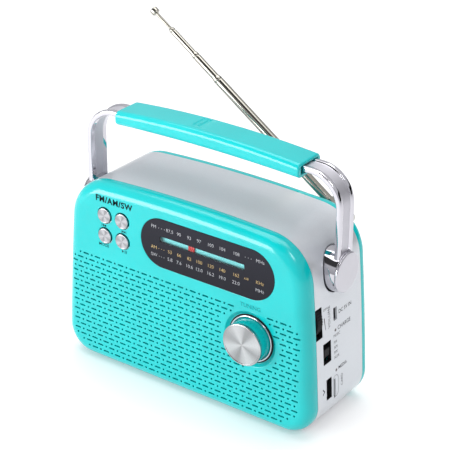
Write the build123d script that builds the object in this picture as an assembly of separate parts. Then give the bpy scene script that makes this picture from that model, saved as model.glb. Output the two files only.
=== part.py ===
"""Portable transistor radio with a fold-down carrying handle and a telescopic aerial.

Frame: +X to the right of the face, +Y to the back, +Z up, millimetres. The origin is the centre
of the surface that the radio stands on, below the middle of its width and depth.
"""
from build123d import *
from math import cos, radians, sin
import os

# ---- driving dimensions -------------------------------------------------------------------
HEIGHT = 116.5            # crown of the case above the table
FOOT = 1.0                # how far the rubber feet stand below the case
BASE_HALF = 85.6          # half width at the bottom edge
MID_HALF = 82.0           # half width at mid height, where the side bulges
SHOULDER_HALF = 77.0      # half width at the top corners, before they are rounded
SHOULDER_Z = 113.2        # height of the top corners, before they are rounded
TOP_RADIUS = 26.5
BASE_RADIUS = 17.0
FRONT_Y = -31.0           # face of the front shell
BACK_Y = 31.0             # face of the rear shell
PART_FRONT_Y = -21.7      # parting line between front shell and band
PART_BACK_Y = 23.6        # parting line between band and rear shell
WALL = 2.2
FACE_EDGE = 7.4           # rounding round the face
REAR_EDGE = 5.6           # rounding round the back
SEAM_X = 69.3             # seams between top or bottom panel and side panels
INNER_FRONT = FRONT_Y + WALL
INNER_BACK = BACK_Y - WALL
GAP = 0.3                 # air between pieces that move past each other
FIT = 0.06                # radial clearance of a shaft in its bearing

# dial: smoked panel, slot, sliding pointer and its cord drive
DIAL_X, DIAL_Z = 17.1, 91.2
DIAL_W, DIAL_H = 88.0, 29.4
DIAL_LIP = 1.5
PANEL_T = 1.0
SLOT_X, SLOT_Z = 14.05, 93.7
SLOT_W, SLOT_H = 55.9, 3.5
POINTER_X = 6.5
POINTER_W = 4.0
RAIL_Z, RAIL_Y, RAIL_R = 100.3, -26.4, 0.8
CORD_Y = -22.5
CORD_HALF = 0.3
PULLEY_R = 4.3
PULLEY_Z = 94.0
PULLEY_LEFT_X, PULLEY_RIGHT_X = -24.0, 50.0

# tuning knob
KNOB_X, KNOB_Z = 46.1, 51.9
DISH_R, DISH_FLOOR_R, DISH_DEPTH = 16.4, 14.7, 1.6
BEZEL_R = 13.6
SKIRT_R = 12.0
CAP_R = 12.2
KNOB_PROUD = 7.6          # face of the cap in front of the case's face
SHAFT_R = 2.0
DRUM_R = 10.3             # radius of the cord's centre line on the drum

# push buttons, two rows of two
BUTTON_XS = (-52.5, -40.1)
BUTTON_ZS = (96.6, 84.2)
BUTTON_NAMES = (("button_previous", "button_next"), ("button_mode", "button_play"))
BUTTON_R = 4.6
BUTTON_HOLE_R = 5.0
BUTTON_PROUD = 0.9

# controls and sockets on the right side: (y, z) of each centre
VOLUME_Y, VOLUME_Z, VOLUME_X = -18.6, 67.4, 70.2
VOLUME_R, VOLUME_T = 12.0, 4.6
DC_Y, DC_Z = -2.9, 66.7
BAND_Y, BAND_Z = -11.6, 47.3
BAND_W, BAND_H = 7.6, 12.6
LIGHTS = ((-3.1, 57.1), (-3.1, 32.9))   # charging, and memory card or stick playing
USB_Y, USB_Z = -10.5, 25.0
USB_W, USB_H = 5.2, 12.6
CARD_Y, CARD_Z = -4.9, 22.3
LED_R = 0.9
BOARD_Y = 0.6             # front face of the main board
FERRITE_Y, FERRITE_Z = 12.0, 107.0

# handle: hubs turn about X through (HUB_Y, HUB_Z)
HUB_Y, HUB_Z = 0.0, 91.7
HUB_BASE_R, HUB_END_R = 12.2, 11.3
HUB_FLOOR_X = 74.0        # floor of the pocket that the hub turns in
HUB_END_X = 84.9
HUB_CAP_T = 1.6
ARM_OUT = 84.5            # outer face of the strap
STRAP_T, RAIL_LIFT = 3.0, 0.8   # thickness over the edge rails, and how far they stand up
STRAP_HALF = 7.0
RAIL_W = 2.1
STRAP_TOP = 147.8
STRAP_BEND = 19.5
GRIP_HALF_L, GRIP_HALF_W = 60.5, 10.2
GRIP_TOP, GRIP_ARCH = 149.3, 2.7
GRIP_BASE, GRIP_BASE_ARCH = 141.4, 1.6
GROOVE_X, GROOVE_R, GROOVE_DEPTH = 3.2, 1.6, 0.6

# aerial: swivels about Y at the pivot, then tilts back at the elbow pin
PIVOT_X, PIVOT_Y, PIVOT_Z = 62.0, 35.5, 102.7
AERIAL_ANGLE = 35.1       # above the horizontal, pointing left
ELBOW = 9.0               # distance from swivel to elbow pin
TUBE_START = 14.0
TUBE_ENDS = (106.3, 125.1, 145.1)
TUBE_LENGTHS = (TUBE_ENDS[0] - TUBE_START, 90.0, 88.0)
TUBE_RADII = ((2.60, 2.25), (2.15, 1.80), (1.70, 1.00))
ROD_R, ROD_LENGTH, ROD_END = 0.9, 80.0, 157.0
TIP_R, TIP_LENGTH = 2.3, 3.4

# battery compartment in the back
DOOR_HALF, DOOR_LOW, DOOR_HIGH, DOOR_T = 38.0, 13.0, 41.0, 1.4
DOOR_TRAVEL = 8.0
CELL_R, CELL_LENGTH, CELL_Y, CELL_Z = 9.2, 65.0, 18.6, 27.0

SPEAKER_X, SPEAKER_Z, SPEAKER_R = -34.0, 44.0, 35.0
SCREW_POSTS = ((-62.0, 12.5), (62.0, 12.5), (-62.0, 82.0), (62.0, 82.0))
POST_R = 4.0

PARTS = {}


# ---- helpers ------------------------------------------------------------------------------
def slab(face, y_from, y_to):
    """Extrude a face drawn as (x, z) between two depths."""
    return extrude(Plane.XZ.offset(-y_to) * face, amount=y_to - y_from)


def block(x, y, z):
    """Box from three (low, high) pairs."""
    size = [high - low for low, high in (x, y, z)]
    centre = [(high + low) / 2 for low, high in (x, y, z)]
    return Pos(*centre) * Box(*size)


def rod_y(x, z, radius, y_from, y_to):
    """Cylinder along Y."""
    return slab(Pos(x, z) * Circle(radius), y_from, y_to)


def rod_x(y, z, radius, x_from, x_to):
    """Cylinder along X."""
    turned = Rot(0, 90, 0) * Cylinder(radius, x_to - x_from)
    return Pos((x_from + x_to) / 2, y, z) * turned


def ring_y(x, z, outer, inner, y_from, y_to):
    """Tube along Y."""
    return rod_y(x, z, outer, y_from, y_to) - rod_y(x, z, inner, y_from - 1, y_to + 1)


def case_outline(inset=0.0):
    """Front view of the case: crowned top, bulged sides that spread downwards, round corners."""
    shoulder_x, shoulder_z = SHOULDER_HALF - inset, SHOULDER_Z - inset
    foot_x, foot_z = BASE_HALF - inset, FOOT + inset
    bulge = (MID_HALF - inset, (HEIGHT + FOOT) / 2)
    edges = [
        ThreePointArc((-shoulder_x, shoulder_z), (0, HEIGHT - inset), (shoulder_x, shoulder_z)),
        ThreePointArc((shoulder_x, shoulder_z), bulge, (foot_x, foot_z)),
        Line((foot_x, foot_z), (-foot_x, foot_z)),
        ThreePointArc((-foot_x, foot_z), (-bulge[0], bulge[1]), (-shoulder_x, shoulder_z)),
    ]
    face = make_face(edges)
    face = fillet(face.vertices().group_by(Axis.Y)[-1], TOP_RADIUS - inset)
    return fillet([v for v in face.vertices() if v.Y < foot_z + 0.1], BASE_RADIUS - inset)


def stadium(width, height):
    """Bar with fully round ends."""
    return SlotOverall(width, height)


def keep(name, *solids):
    """Store one named piece, made of one or more solids."""
    PARTS[name] = list(solids)


# ---- case ---------------------------------------------------------------------------------
def case_fillet(solid, y_end, radius):
    """Round the outer rim of the case at one end."""
    end_face = solid.faces().sort_by(Axis.Y)[0 if y_end < 0 else -1]
    return fillet(end_face.edges(), radius)


def front_shell():
    """Face of the radio, with the openings for dial, knob and buttons and four screw posts."""
    shell = case_fillet(slab(case_outline(), FRONT_Y, PART_FRONT_Y), FRONT_Y, FACE_EDGE)
    hollow = slab(case_outline(WALL), INNER_FRONT, PART_FRONT_Y + 1)
    shell -= case_fillet(hollow, INNER_FRONT, FACE_EDGE - WALL)
    shell += rod_y(KNOB_X, KNOB_Z, DISH_R + 2, INNER_FRONT - 0.5, INNER_FRONT + DISH_DEPTH)
    dish = Solid.make_cone(DISH_R, DISH_FLOOR_R, DISH_DEPTH,
                           Plane((KNOB_X, FRONT_Y, KNOB_Z), z_dir=(0, 1, 0)))
    shell -= dish
    shell -= rod_y(KNOB_X, KNOB_Z, SHAFT_R + GAP, FRONT_Y, INNER_FRONT + 3)
    shell -= slab(Pos(DIAL_X, DIAL_Z) * stadium(DIAL_W, DIAL_H), FRONT_Y, FRONT_Y + PANEL_T)
    shell -= slab(Pos(DIAL_X, DIAL_Z) * stadium(DIAL_W - 2 * DIAL_LIP, DIAL_H - 2 * DIAL_LIP),
                  FRONT_Y, INNER_FRONT + 1)
    for x in BUTTON_XS:
        for z in BUTTON_ZS:
            shell -= rod_y(x, z, BUTTON_HOLE_R, FRONT_Y - 1, INNER_FRONT + 1)
    for x, z in SCREW_POSTS:
        shell += rod_y(x, z, POST_R, INNER_FRONT - 0.5, 0.0)
        shell -= rod_y(x, z, 1.5, -14, 1)
    keep("front_shell", shell)


def band_ring():
    """The silver band as one ring, before the seams divide it."""
    ring = slab(case_outline(), PART_FRONT_Y, PART_BACK_Y)
    return ring - slab(case_outline(WALL), PART_FRONT_Y - 1, PART_BACK_Y + 1)


def side_pocket(side):
    """Solid floor behind the pocket that a handle hub turns in."""
    x_from, x_to = sorted((side * (HUB_FLOOR_X - WALL), side * HUB_FLOOR_X))
    return rod_x(HUB_Y, HUB_Z, HUB_BASE_R + 2.8, x_from, x_to)


def side_panel(ring, side):
    """One end of the band with its hub pocket and the bearing for the pivot pin."""
    span = sorted((side * SEAM_X, side * 100.0))
    panel = ring & block(span, (-40, 40), (-1, 120))
    x_from, x_to = sorted((side * HUB_FLOOR_X, side * 100.0))
    panel -= rod_x(HUB_Y, HUB_Z, HUB_BASE_R + 0.4, x_from, x_to)
    panel += side_pocket(side) & slab(case_outline(), PART_FRONT_Y, PART_BACK_Y)
    x_from, x_to = sorted((side * (SEAM_X - 2), side * (HUB_FLOOR_X + 1)))
    return panel - rod_x(HUB_Y, HUB_Z, 3.0 + FIT, x_from, x_to)


def right_openings():
    """Cut-outs in the right side for the wheel, slider, sockets and indicator lights."""
    reach = (76.0, 90.0)
    return [
        block(reach, (PART_FRONT_Y - 1, VOLUME_Y + VOLUME_T / 2 + 0.7),
              (VOLUME_Z - 9.0, VOLUME_Z + 9.0)),
        block(reach, (DC_Y - 1.7, DC_Y + 1.7), (DC_Z - 3.8, DC_Z + 3.8)),
        block(reach, (BAND_Y - BAND_W / 2, BAND_Y + BAND_W / 2),
              (BAND_Z - BAND_H / 2, BAND_Z + BAND_H / 2)),
        block(reach, (USB_Y - USB_W / 2, USB_Y + USB_W / 2), (USB_Z - USB_H / 2, USB_Z + USB_H / 2)),
        block(reach, (CARD_Y - 0.7, CARD_Y + 0.7), (CARD_Z - 6.0, CARD_Z + 6.0)),
        *[rod_x(y, z, LED_R, *reach) for y, z in LIGHTS],
    ]


def band():
    """Top, bottom and side panels of the silver band."""
    ring = band_ring()
    middle = ring & block((-SEAM_X, SEAM_X), (-40, 40), (-1, 120))
    keep("top_panel", middle & block((-90, 90), (-40, 40), (60, 120)))
    bottom = middle & block((-90, 90), (-40, 40), (-1, 60))
    for foot in feet():
        bottom -= foot
    keep("bottom_panel", bottom)
    keep("side_panel_left", side_panel(ring, -1))
    right = side_panel(ring, 1)
    for opening in right_openings():
        right -= opening
    keep("side_panel_right", right)


def rear_shell():
    """Back of the radio with the battery opening, door track and screw posts."""
    shell = case_fillet(slab(case_outline(), PART_BACK_Y, BACK_Y), BACK_Y, REAR_EDGE)
    hollow = slab(case_outline(WALL), PART_BACK_Y - 1, INNER_BACK)
    shell -= case_fillet(hollow, INNER_BACK, REAR_EDGE - WALL)
    edge = DOOR_HALF + GAP
    shell += block((-edge - 2, edge + 2), (INNER_BACK - 1.8, INNER_BACK + 0.5), (2.5, DOOR_HIGH + 3))
    shell -= block((-edge, edge), (BACK_Y - DOOR_T - 0.2, BACK_Y + 1),
                   (DOOR_LOW - DOOR_TRAVEL - GAP, DOOR_HIGH + GAP))
    shell -= block((-DOOR_HALF + 3.5, DOOR_HALF - 3.5), (INNER_BACK - 3, BACK_Y),
                   (DOOR_LOW + 2.5, DOOR_HIGH - 2.5))
    for x, z in SCREW_POSTS:
        shell += rod_y(x, z, POST_R + 0.4, 0.0, INNER_BACK + 0.5)
        shell -= rod_y(x, z, 1.5, -1, 27)
        shell -= rod_y(x, z, 3.2, 26, BACK_Y + 1)
    keep("rear_shell", shell)


def battery():
    """Sliding door, tray, rechargeable cell and its two contacts."""
    door = block((-DOOR_HALF, DOOR_HALF), (BACK_Y - DOOR_T, BACK_Y), (DOOR_LOW, DOOR_HIGH))
    door = fillet(door.edges().filter_by(Axis.Y), 2.0)
    for step in range(5):
        low = DOOR_LOW + 4 + 2.4 * step
        door -= block((-9, 9), (BACK_Y - 0.5, BACK_Y + 1), (low, low + 1.2))
    keep("battery_door", door)
    low, high = CELL_Z - CELL_R - 0.4, CELL_Z + CELL_R + 0.4
    half = CELL_LENGTH / 2 + 3.4
    tray = block((-half - 1.5, half + 1.5), (CELL_Y - CELL_R - 2.1, INNER_BACK - 1.8),
                 (low - 1.5, high + 1.5))
    tray -= block((-half, half), (CELL_Y - CELL_R - 0.6, BACK_Y), (low, high))
    keep("battery_tray", tray)
    keep("battery_cell", rod_x(CELL_Y, CELL_Z, CELL_R, -CELL_LENGTH / 2, CELL_LENGTH / 2)
         + rod_x(CELL_Y, CELL_Z, 3.0, CELL_LENGTH / 2, CELL_LENGTH / 2 + 1.6))
    plate = block((half - 1.8, half), (CELL_Y - 6, CELL_Y + 6), (CELL_Z - 7, CELL_Z + 7))
    spring = Solid.make_cone(2.5, 5.0, 3.4, Plane((-CELL_LENGTH / 2, CELL_Y, CELL_Z),
                                                  z_dir=(-1, 0, 0)))
    keep("battery_contacts", plate, spring)


def feet():
    """Round rubber pads let into the bottom: one in each corner and one in the middle."""
    places = [(x, y) for x in (-58, 58) for y in (-14, 15)] + [(0, 0)]
    return [Pos(x, y, 0.9) * Cylinder(5.0, 1.8) for x, y in places]


def fasteners():
    """Case screws driven from the back, and the screws of the main board."""
    keep("case_screws", *[
        rod_y(x, z, 2.8, 26, 28.2) - block((x - 0.4, x + 0.4), (27.2, 29), (z - 1.8, z + 1.8))
        + rod_y(x, z, 1.4, -12, 26) for x, z in SCREW_POSTS])
    keep("rubber_feet", *feet())


# ---- dial and tuning ----------------------------------------------------------------------
def dial():
    """Smoked panel with its slot, the clear strip in the slot and the plate behind."""
    slot = Pos(SLOT_X, SLOT_Z) * Rectangle(SLOT_W, SLOT_H)
    panel = slab(Pos(DIAL_X, DIAL_Z) * stadium(DIAL_W, DIAL_H), FRONT_Y, FRONT_Y + PANEL_T)
    keep("dial_panel", panel - slab(slot, FRONT_Y - 1, FRONT_Y + 3))
    keep("dial_window", slab(slot, FRONT_Y + 0.1, FRONT_Y + PANEL_T))
    back = FRONT_Y + PANEL_T
    keep("dial_backplate", block((-20, 50), (back + 1.2, back + 2.0), (88.0, 97.3))
         + block((-20, -18), (back, back + 1.2), (88.0, 90.0))
         + block((48, 50), (back, back + 1.2), (88.0, 90.0)))


def pointer():
    """Red pointer on its carriage, and the rod that the carriage slides along."""
    front = FRONT_Y + PANEL_T + GAP
    blade = block((POINTER_X - POINTER_W / 2, POINTER_X + POINTER_W / 2), (front, front + 0.6),
                  (90.6, 98.4))
    carriage = block((POINTER_X - 3, POINTER_X + 3), (front, -24.4), (98.0, 102.6))
    clip = block((POINTER_X - 1.5, POINTER_X + 1.5), (-24.5, -21.8), (99.1, 99.9))
    bore = rod_x(RAIL_Y, RAIL_Z, RAIL_R + FIT, POINTER_X - 5, POINTER_X + 5)
    keep("tuning_pointer", blade + carriage + clip - bore)
    rail = rod_x(RAIL_Y, RAIL_Z, RAIL_R, -29, 63)
    for x in (-29, 63):
        rail += block((x - 1.4, x + 1.4), (INNER_FRONT, -24.6), (98.2, 102.4))
    keep("pointer_rail", rail)


def grooved_wheel(x, z, radius, bore):
    """Wheel along Y with a groove for the cord, whose centre line runs at the radius."""
    wheel = rod_y(x, z, radius + 0.9, CORD_Y - 1.6, CORD_Y + 1.6)
    wheel -= ring_y(x, z, radius + 2, radius - 0.6, CORD_Y - 0.8, CORD_Y + 0.8)
    return wheel - rod_y(x, z, bore, CORD_Y - 3, CORD_Y + 3)


def cord_loop():
    """Tight loop of dial cord round the drum and both pulleys."""
    stations = ((KNOB_X, KNOB_Z, DRUM_R), (PULLEY_LEFT_X, PULLEY_Z, PULLEY_R),
                (PULLEY_RIGHT_X, PULLEY_Z, PULLEY_R))

    def hull(grow):
        rims = Sketch() + [Pos(x, z) * Circle(r + grow) for x, z, r in stations]
        return make_hull(rims.edges())

    return slab(hull(CORD_HALF) - hull(-CORD_HALF), CORD_Y - 0.4, CORD_Y + 0.4)


def tuning_drive():
    """Knob, shaft, cord drum, pulleys, cord and tuning capacitor."""
    cap_back = FRONT_Y - KNOB_PROUD + 1.6
    cap = rod_y(KNOB_X, KNOB_Z, CAP_R, FRONT_Y - KNOB_PROUD, cap_back)
    keep("knob_cap", chamfer(cap.faces().sort_by(Axis.Y)[0].edges(), 0.7))
    floor = FRONT_Y + DISH_DEPTH
    keep("knob_skirt", ring_y(KNOB_X, KNOB_Z, SKIRT_R, SHAFT_R, cap_back, floor - GAP))
    keep("knob_bezel", ring_y(KNOB_X, KNOB_Z, BEZEL_R, SKIRT_R + 0.5, floor - 0.9, floor))
    keep("tuning_shaft", rod_y(KNOB_X, KNOB_Z, SHAFT_R, cap_back, -14.0))
    keep("dial_drum", grooved_wheel(KNOB_X, KNOB_Z, DRUM_R, SHAFT_R))
    for name, x in (("pulley_left", PULLEY_LEFT_X), ("pulley_right", PULLEY_RIGHT_X)):
        keep(name, grooved_wheel(x, PULLEY_Z, PULLEY_R, 1.5 + FIT))
    keep("dial_cord", cord_loop())
    base = block((PULLEY_LEFT_X - 8, PULLEY_RIGHT_X + 8), (-19.6, -18.2), (88.0, 100.0))
    for x in (PULLEY_LEFT_X, PULLEY_RIGHT_X):
        base += rod_y(x, PULLEY_Z, 1.5, -24.4, -19.0)
        base += ring_y(x, PULLEY_Z, 3.0, 1.0, -20.5, -19.5)
    keep("pulley_bracket", base)
    body = block((KNOB_X - 10, KNOB_X + 10), (-17, -5), (KNOB_Z - 10, KNOB_Z + 10))
    keep("tuning_capacitor", body - rod_y(KNOB_X, KNOB_Z, SHAFT_R + FIT, -18, -13)
         + block((KNOB_X - 8, KNOB_X + 8), (-5, BOARD_Y), (KNOB_Z - 8, KNOB_Z - 6)))


def buttons():
    """Four sprung metal caps, their switches and the small board that holds them."""
    for row, z in zip(BUTTON_NAMES, BUTTON_ZS):
        for name, x in zip(row, BUTTON_XS):
            cap = rod_y(x, z, BUTTON_R, FRONT_Y - BUTTON_PROUD, FRONT_Y + 1.2)
            cap = chamfer(cap.faces().sort_by(Axis.Y)[0].edges(), 0.45)
            stem = rod_y(x, z, 2.4, FRONT_Y + 1.2, INNER_FRONT + 0.5)
            keep(name, cap + stem + rod_y(x, z, 5.6, INNER_FRONT + 0.4, INNER_FRONT + 1.2))
    keep("tact_switches", *[
        block((x - 3, x + 3), (-26.2, -24.6), (z - 3, z + 3)) + rod_y(x, z, 1.6, -26.8, -26.0)
        for x in BUTTON_XS for z in BUTTON_ZS])
    keep("button_board", block((-57.5, -32), (-24.6, -23.2), (77.5, 103.5)))


# ---- electronics --------------------------------------------------------------------------
def speaker():
    """Loudspeaker behind the left of the grille: basket, paper cone and magnet."""
    flange = ring_y(SPEAKER_X, SPEAKER_Z, SPEAKER_R, 30.5, INNER_FRONT, -27.2)
    basket_plane = Plane((SPEAKER_X, -27.2, SPEAKER_Z), z_dir=(0, 1, 0))
    basket = Solid.make_cone(32.5, 17.0, 10.7, basket_plane)
    basket -= Solid.make_cone(31.2, 15.7, 10.7, basket_plane)
    seat = ring_y(SPEAKER_X, SPEAKER_Z, 20.0, 13.0, -16.5, -15.2)
    keep("speaker_basket", flange + basket + seat)
    cone_plane = Plane((SPEAKER_X, -27.6, SPEAKER_Z), z_dir=(0, 1, 0))
    cone = Solid.make_cone(29.6, 10.0, 10.0, cone_plane)
    cone -= Solid.make_cone(29.1, 9.5, 10.0, cone_plane)
    dome = rod_y(SPEAKER_X, SPEAKER_Z, 9.6, -18.4, -17.6)
    keep("speaker_cone", cone + dome)
    keep("speaker_magnet", rod_y(SPEAKER_X, SPEAKER_Z, 21.0, -15.2, -7.2))


def boards():
    """Main board, its components, and the ferrite aerial under the top panel."""
    keep("main_board", block((8, 74), (BOARD_Y, BOARD_Y + 1.6), (18.5, 76.5)))
    capacitors = [rod_y(x, 26.0, 3.0, BOARD_Y - 8, BOARD_Y) for x in (40, 48, 56)]
    chips = [block((x, x + 10), (BOARD_Y - 1.6, BOARD_Y), (30, 38)) for x in (12, 24)]
    keep("board_components", *capacitors, *chips)
    rod = rod_x(FERRITE_Y, FERRITE_Z, 4.0, -32, 32)
    coil = rod_x(FERRITE_Y, FERRITE_Z, 5.2, -12, 12) - rod_x(FERRITE_Y, FERRITE_Z, 4.0, -13, 13)
    keep("ferrite_aerial", rod, coil)


def side_controls():
    """Volume wheel, band slider, sockets and indicator lights of the right side."""
    flush = slab(case_outline(), -40, 40)
    sunk = slab(case_outline(0.7), -40, 40)
    deep = slab(case_outline(WALL + 0.4), -40, 40)
    wheel_front, wheel_back = VOLUME_Y - VOLUME_T / 2, VOLUME_Y + VOLUME_T / 2
    wheel = rod_y(VOLUME_X, VOLUME_Z, VOLUME_R, wheel_front, wheel_back)
    for tooth in range(48):
        angle = radians(tooth * 7.5)
        x, z = VOLUME_X + VOLUME_R * cos(angle), VOLUME_Z + VOLUME_R * sin(angle)
        wheel -= rod_y(x, z, 0.35, wheel_front - 1, wheel_back + 1)
    keep("volume_wheel", wheel + rod_y(VOLUME_X, VOLUME_Z, 1.5, wheel_front, -13.0))
    pot = block((VOLUME_X - 6, VOLUME_X + 5.4), (wheel_back + 0.9, -9), (VOLUME_Z - 6, VOLUME_Z + 6))
    keep("volume_pot", pot - rod_y(VOLUME_X, VOLUME_Z, 1.5 + FIT, -17, -12.5)
         + block((VOLUME_X - 5, VOLUME_X - 3), (-9, BOARD_Y), (VOLUME_Z - 4, VOLUME_Z + 4)))

    plate = block((77.0, 78.2), (BAND_Y - 4.6, BAND_Y + 4.6), (BAND_Z - 10, BAND_Z + 10))
    nub = block((78.2, 82.4), (BAND_Y - 2.2, BAND_Y + 2.6), (BAND_Z - 2.4, BAND_Z + 2.4))
    keep("band_slider", plate + nub)
    frame = block((69.0, 76.7), (BAND_Y - 3.6, BAND_Y + 3.6), (BAND_Z - 9, BAND_Z + 9))
    keep("band_switch", frame + block((69.0, 72.0), (BAND_Y + 3.6, BOARD_Y), (BAND_Z - 2, BAND_Z + 2)))

    shell = block((70.0, 90.0), (DC_Y - 1.7, DC_Y + 1.7), (DC_Z - 3.8, DC_Z + 3.8))
    shell -= block((72.0, 91.0), (DC_Y - 1.2, DC_Y + 1.2), (DC_Z - 3.3, DC_Z + 3.3))
    tongue = block((72.0, 77.5), (DC_Y - 0.3, DC_Y + 0.3), (DC_Z - 2.2, DC_Z + 2.2))
    legs = block((70.0, 74.0), (DC_Y + 1.7, BOARD_Y), (DC_Z - 2, DC_Z + 2))
    keep("dc_socket", ((shell + tongue) & sunk) + legs)

    shell = block((68.0, 90.0), (USB_Y - 3.1, USB_Y + 3.1), (USB_Z - 6.8, USB_Z + 6.8))
    shell -= block((70.0, 91.0), (USB_Y - 2.5, USB_Y + 2.5), (USB_Z - 6.2, USB_Z + 6.2))
    tongue = block((69.5, 77.0), (USB_Y - 1.9, USB_Y - 0.1), (USB_Z - 5.6, USB_Z + 5.6))
    legs = block((68.0, 73.0), (USB_Y + 3.1, BOARD_Y), (USB_Z + 5.0, USB_Z + 6.8))
    keep("usb_socket", ((shell + tongue) & deep) + legs)

    shell = block((67.0, 90.0), (CARD_Y - 1.1, CARD_Y + 1.3), (CARD_Z - 6.6, CARD_Z + 6.6))
    shell -= block((69.0, 91.0), (CARD_Y - 0.6, CARD_Y + 0.6), (CARD_Z - 6.0, CARD_Z + 6.0))
    legs = block((67.0, 73.0), (CARD_Y + 1.3, BOARD_Y), (CARD_Z - 2.5, CARD_Z + 2.5))
    keep("card_socket", (shell & deep) + legs)

    keep("indicator_lights", *[rod_x(y, z, LED_R, 76.0, 90.0) & flush for y, z in LIGHTS])


# ---- handle -------------------------------------------------------------------------------
def strap_strip(thickness, y_from, y_to):
    """U-shaped strip of the strap, from hub height over the top to the other hub."""
    def loop(inset):
        width, height = 2 * (ARM_OUT - inset), 2 * (STRAP_TOP - HUB_Z - inset)
        return Pos(0, HUB_Z) * RectangleRounded(width, height, STRAP_BEND - inset)

    strip = slab(loop(0) - loop(thickness), y_from, y_to)
    return strip & block((-100, 100), (-50, 50), (HUB_Z, STRAP_TOP + 5))


def hub_barrel(side):
    """Flared barrel that joins the strap's end to the pivot pin."""
    start = side * (HUB_FLOOR_X + GAP)
    return Solid.make_cone(HUB_BASE_R, HUB_END_R, HUB_END_X - HUB_FLOOR_X - GAP,
                           Plane((start, HUB_Y, HUB_Z), z_dir=(side, 0, 0)))


def side_rod(side, radius, x_from, x_to):
    """Cylinder on the handle's axis, between two distances from the middle of the radio."""
    return rod_x(HUB_Y, HUB_Z, radius, *sorted((side * x_from, side * x_to)))


def grip():
    """Arched grip with rounded long edges, a channel for the strap and two thumb grooves."""
    corners = [(side * GRIP_HALF_L, z) for z in (GRIP_TOP, GRIP_BASE) for side in (-1, 1)]
    section = make_face([
        ThreePointArc(corners[0], (0, GRIP_TOP + GRIP_ARCH), corners[1]),
        Line(corners[1], corners[3]),
        ThreePointArc(corners[3], (0, GRIP_BASE + GRIP_BASE_ARCH), corners[2]),
        Line(corners[2], corners[0])])
    shape = slab(section, -GRIP_HALF_W, GRIP_HALF_W)
    shape = fillet([e for e in shape.edges() if e.length > GRIP_HALF_L], 3.3)
    channel = STRAP_TOP - STRAP_T
    shape -= block((-70, 70), (-STRAP_HALF, STRAP_HALF), (channel, STRAP_TOP))
    for side in (-1, 1):
        mouth = sorted((side * (GRIP_HALF_L - 7), side * 70.0))
        shape -= block(mouth, (-STRAP_HALF - 1.2, STRAP_HALF + 1.2), (channel - 1.6, STRAP_TOP + 0.3))
    for x in (-GROOVE_X, GROOVE_X):
        shape -= Pos(x, 0, GRIP_TOP + GRIP_ARCH + GROOVE_R - GROOVE_DEPTH) * (
            Rot(90, 0, 0) * Cylinder(GROOVE_R, 11.0))
    return shape


def handle():
    """Chromed strap, grip, hubs with their caps, and the pivot pins."""
    strap = strap_strip(STRAP_T, -STRAP_HALF, STRAP_HALF)
    strap -= strap_strip(RAIL_LIFT, -STRAP_HALF + RAIL_W, STRAP_HALF - RAIL_W)
    hubs, caps, pins = [], [], []
    pin_back = HUB_FLOOR_X - WALL - GAP
    for side in (-1, 1):
        strap -= hub_barrel(side)
        hubs.append(hub_barrel(side) - side_rod(side, 3.0, 70.0, 82.0))
        cap = side_rod(side, HUB_END_R, HUB_END_X, HUB_END_X + HUB_CAP_T)
        caps.append(fillet(cap.faces().sort_by(Axis.X)[0 if side < 0 else -1].edges(), 0.6))
        pins.append(side_rod(side, 3.0, pin_back - 2.6, 82.0)
                    + side_rod(side, 5.0, pin_back - 2.6, pin_back))
    keep("handle_hubs", *hubs)
    keep("hub_caps", *caps)
    keep("pivot_pins", *pins)
    keep("handle_strap", strap)
    keep("handle_grip", grip())


# ---- aerial -------------------------------------------------------------------------------
def aerial_plane(distance):
    """Plane across the aerial at a distance from the swivel; its normal points to the tip."""
    angle = radians(AERIAL_ANGLE)
    along = Vector(-cos(angle), 0, sin(angle))
    origin = Vector(PIVOT_X, PIVOT_Y, PIVOT_Z) + along * distance
    return Plane(origin, x_dir=(0, 1, 0), z_dir=along)


def aerial_rod(radius, start, end):
    """Cylinder along the aerial between two distances from the swivel."""
    return extrude(aerial_plane(start) * Circle(radius), amount=end - start)


def aerial_block(depth, across, start, end):
    """Box on the aerial: depth along Y, across in the swivel's plane."""
    shape = Pos((depth[0] + depth[1]) / 2, (across[0] + across[1]) / 2)
    face = shape * Rectangle(depth[1] - depth[0], across[1] - across[0])
    return extrude(aerial_plane(start) * face, amount=end - start)


def elbow_pin_rod(radius, half):
    """Cylinder along the elbow pin's axis, centred on the aerial."""
    plane = aerial_plane(ELBOW)
    across = Plane(plane.origin - plane.y_dir * half, z_dir=plane.y_dir)
    return extrude(across * Circle(radius), amount=2 * half)


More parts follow.
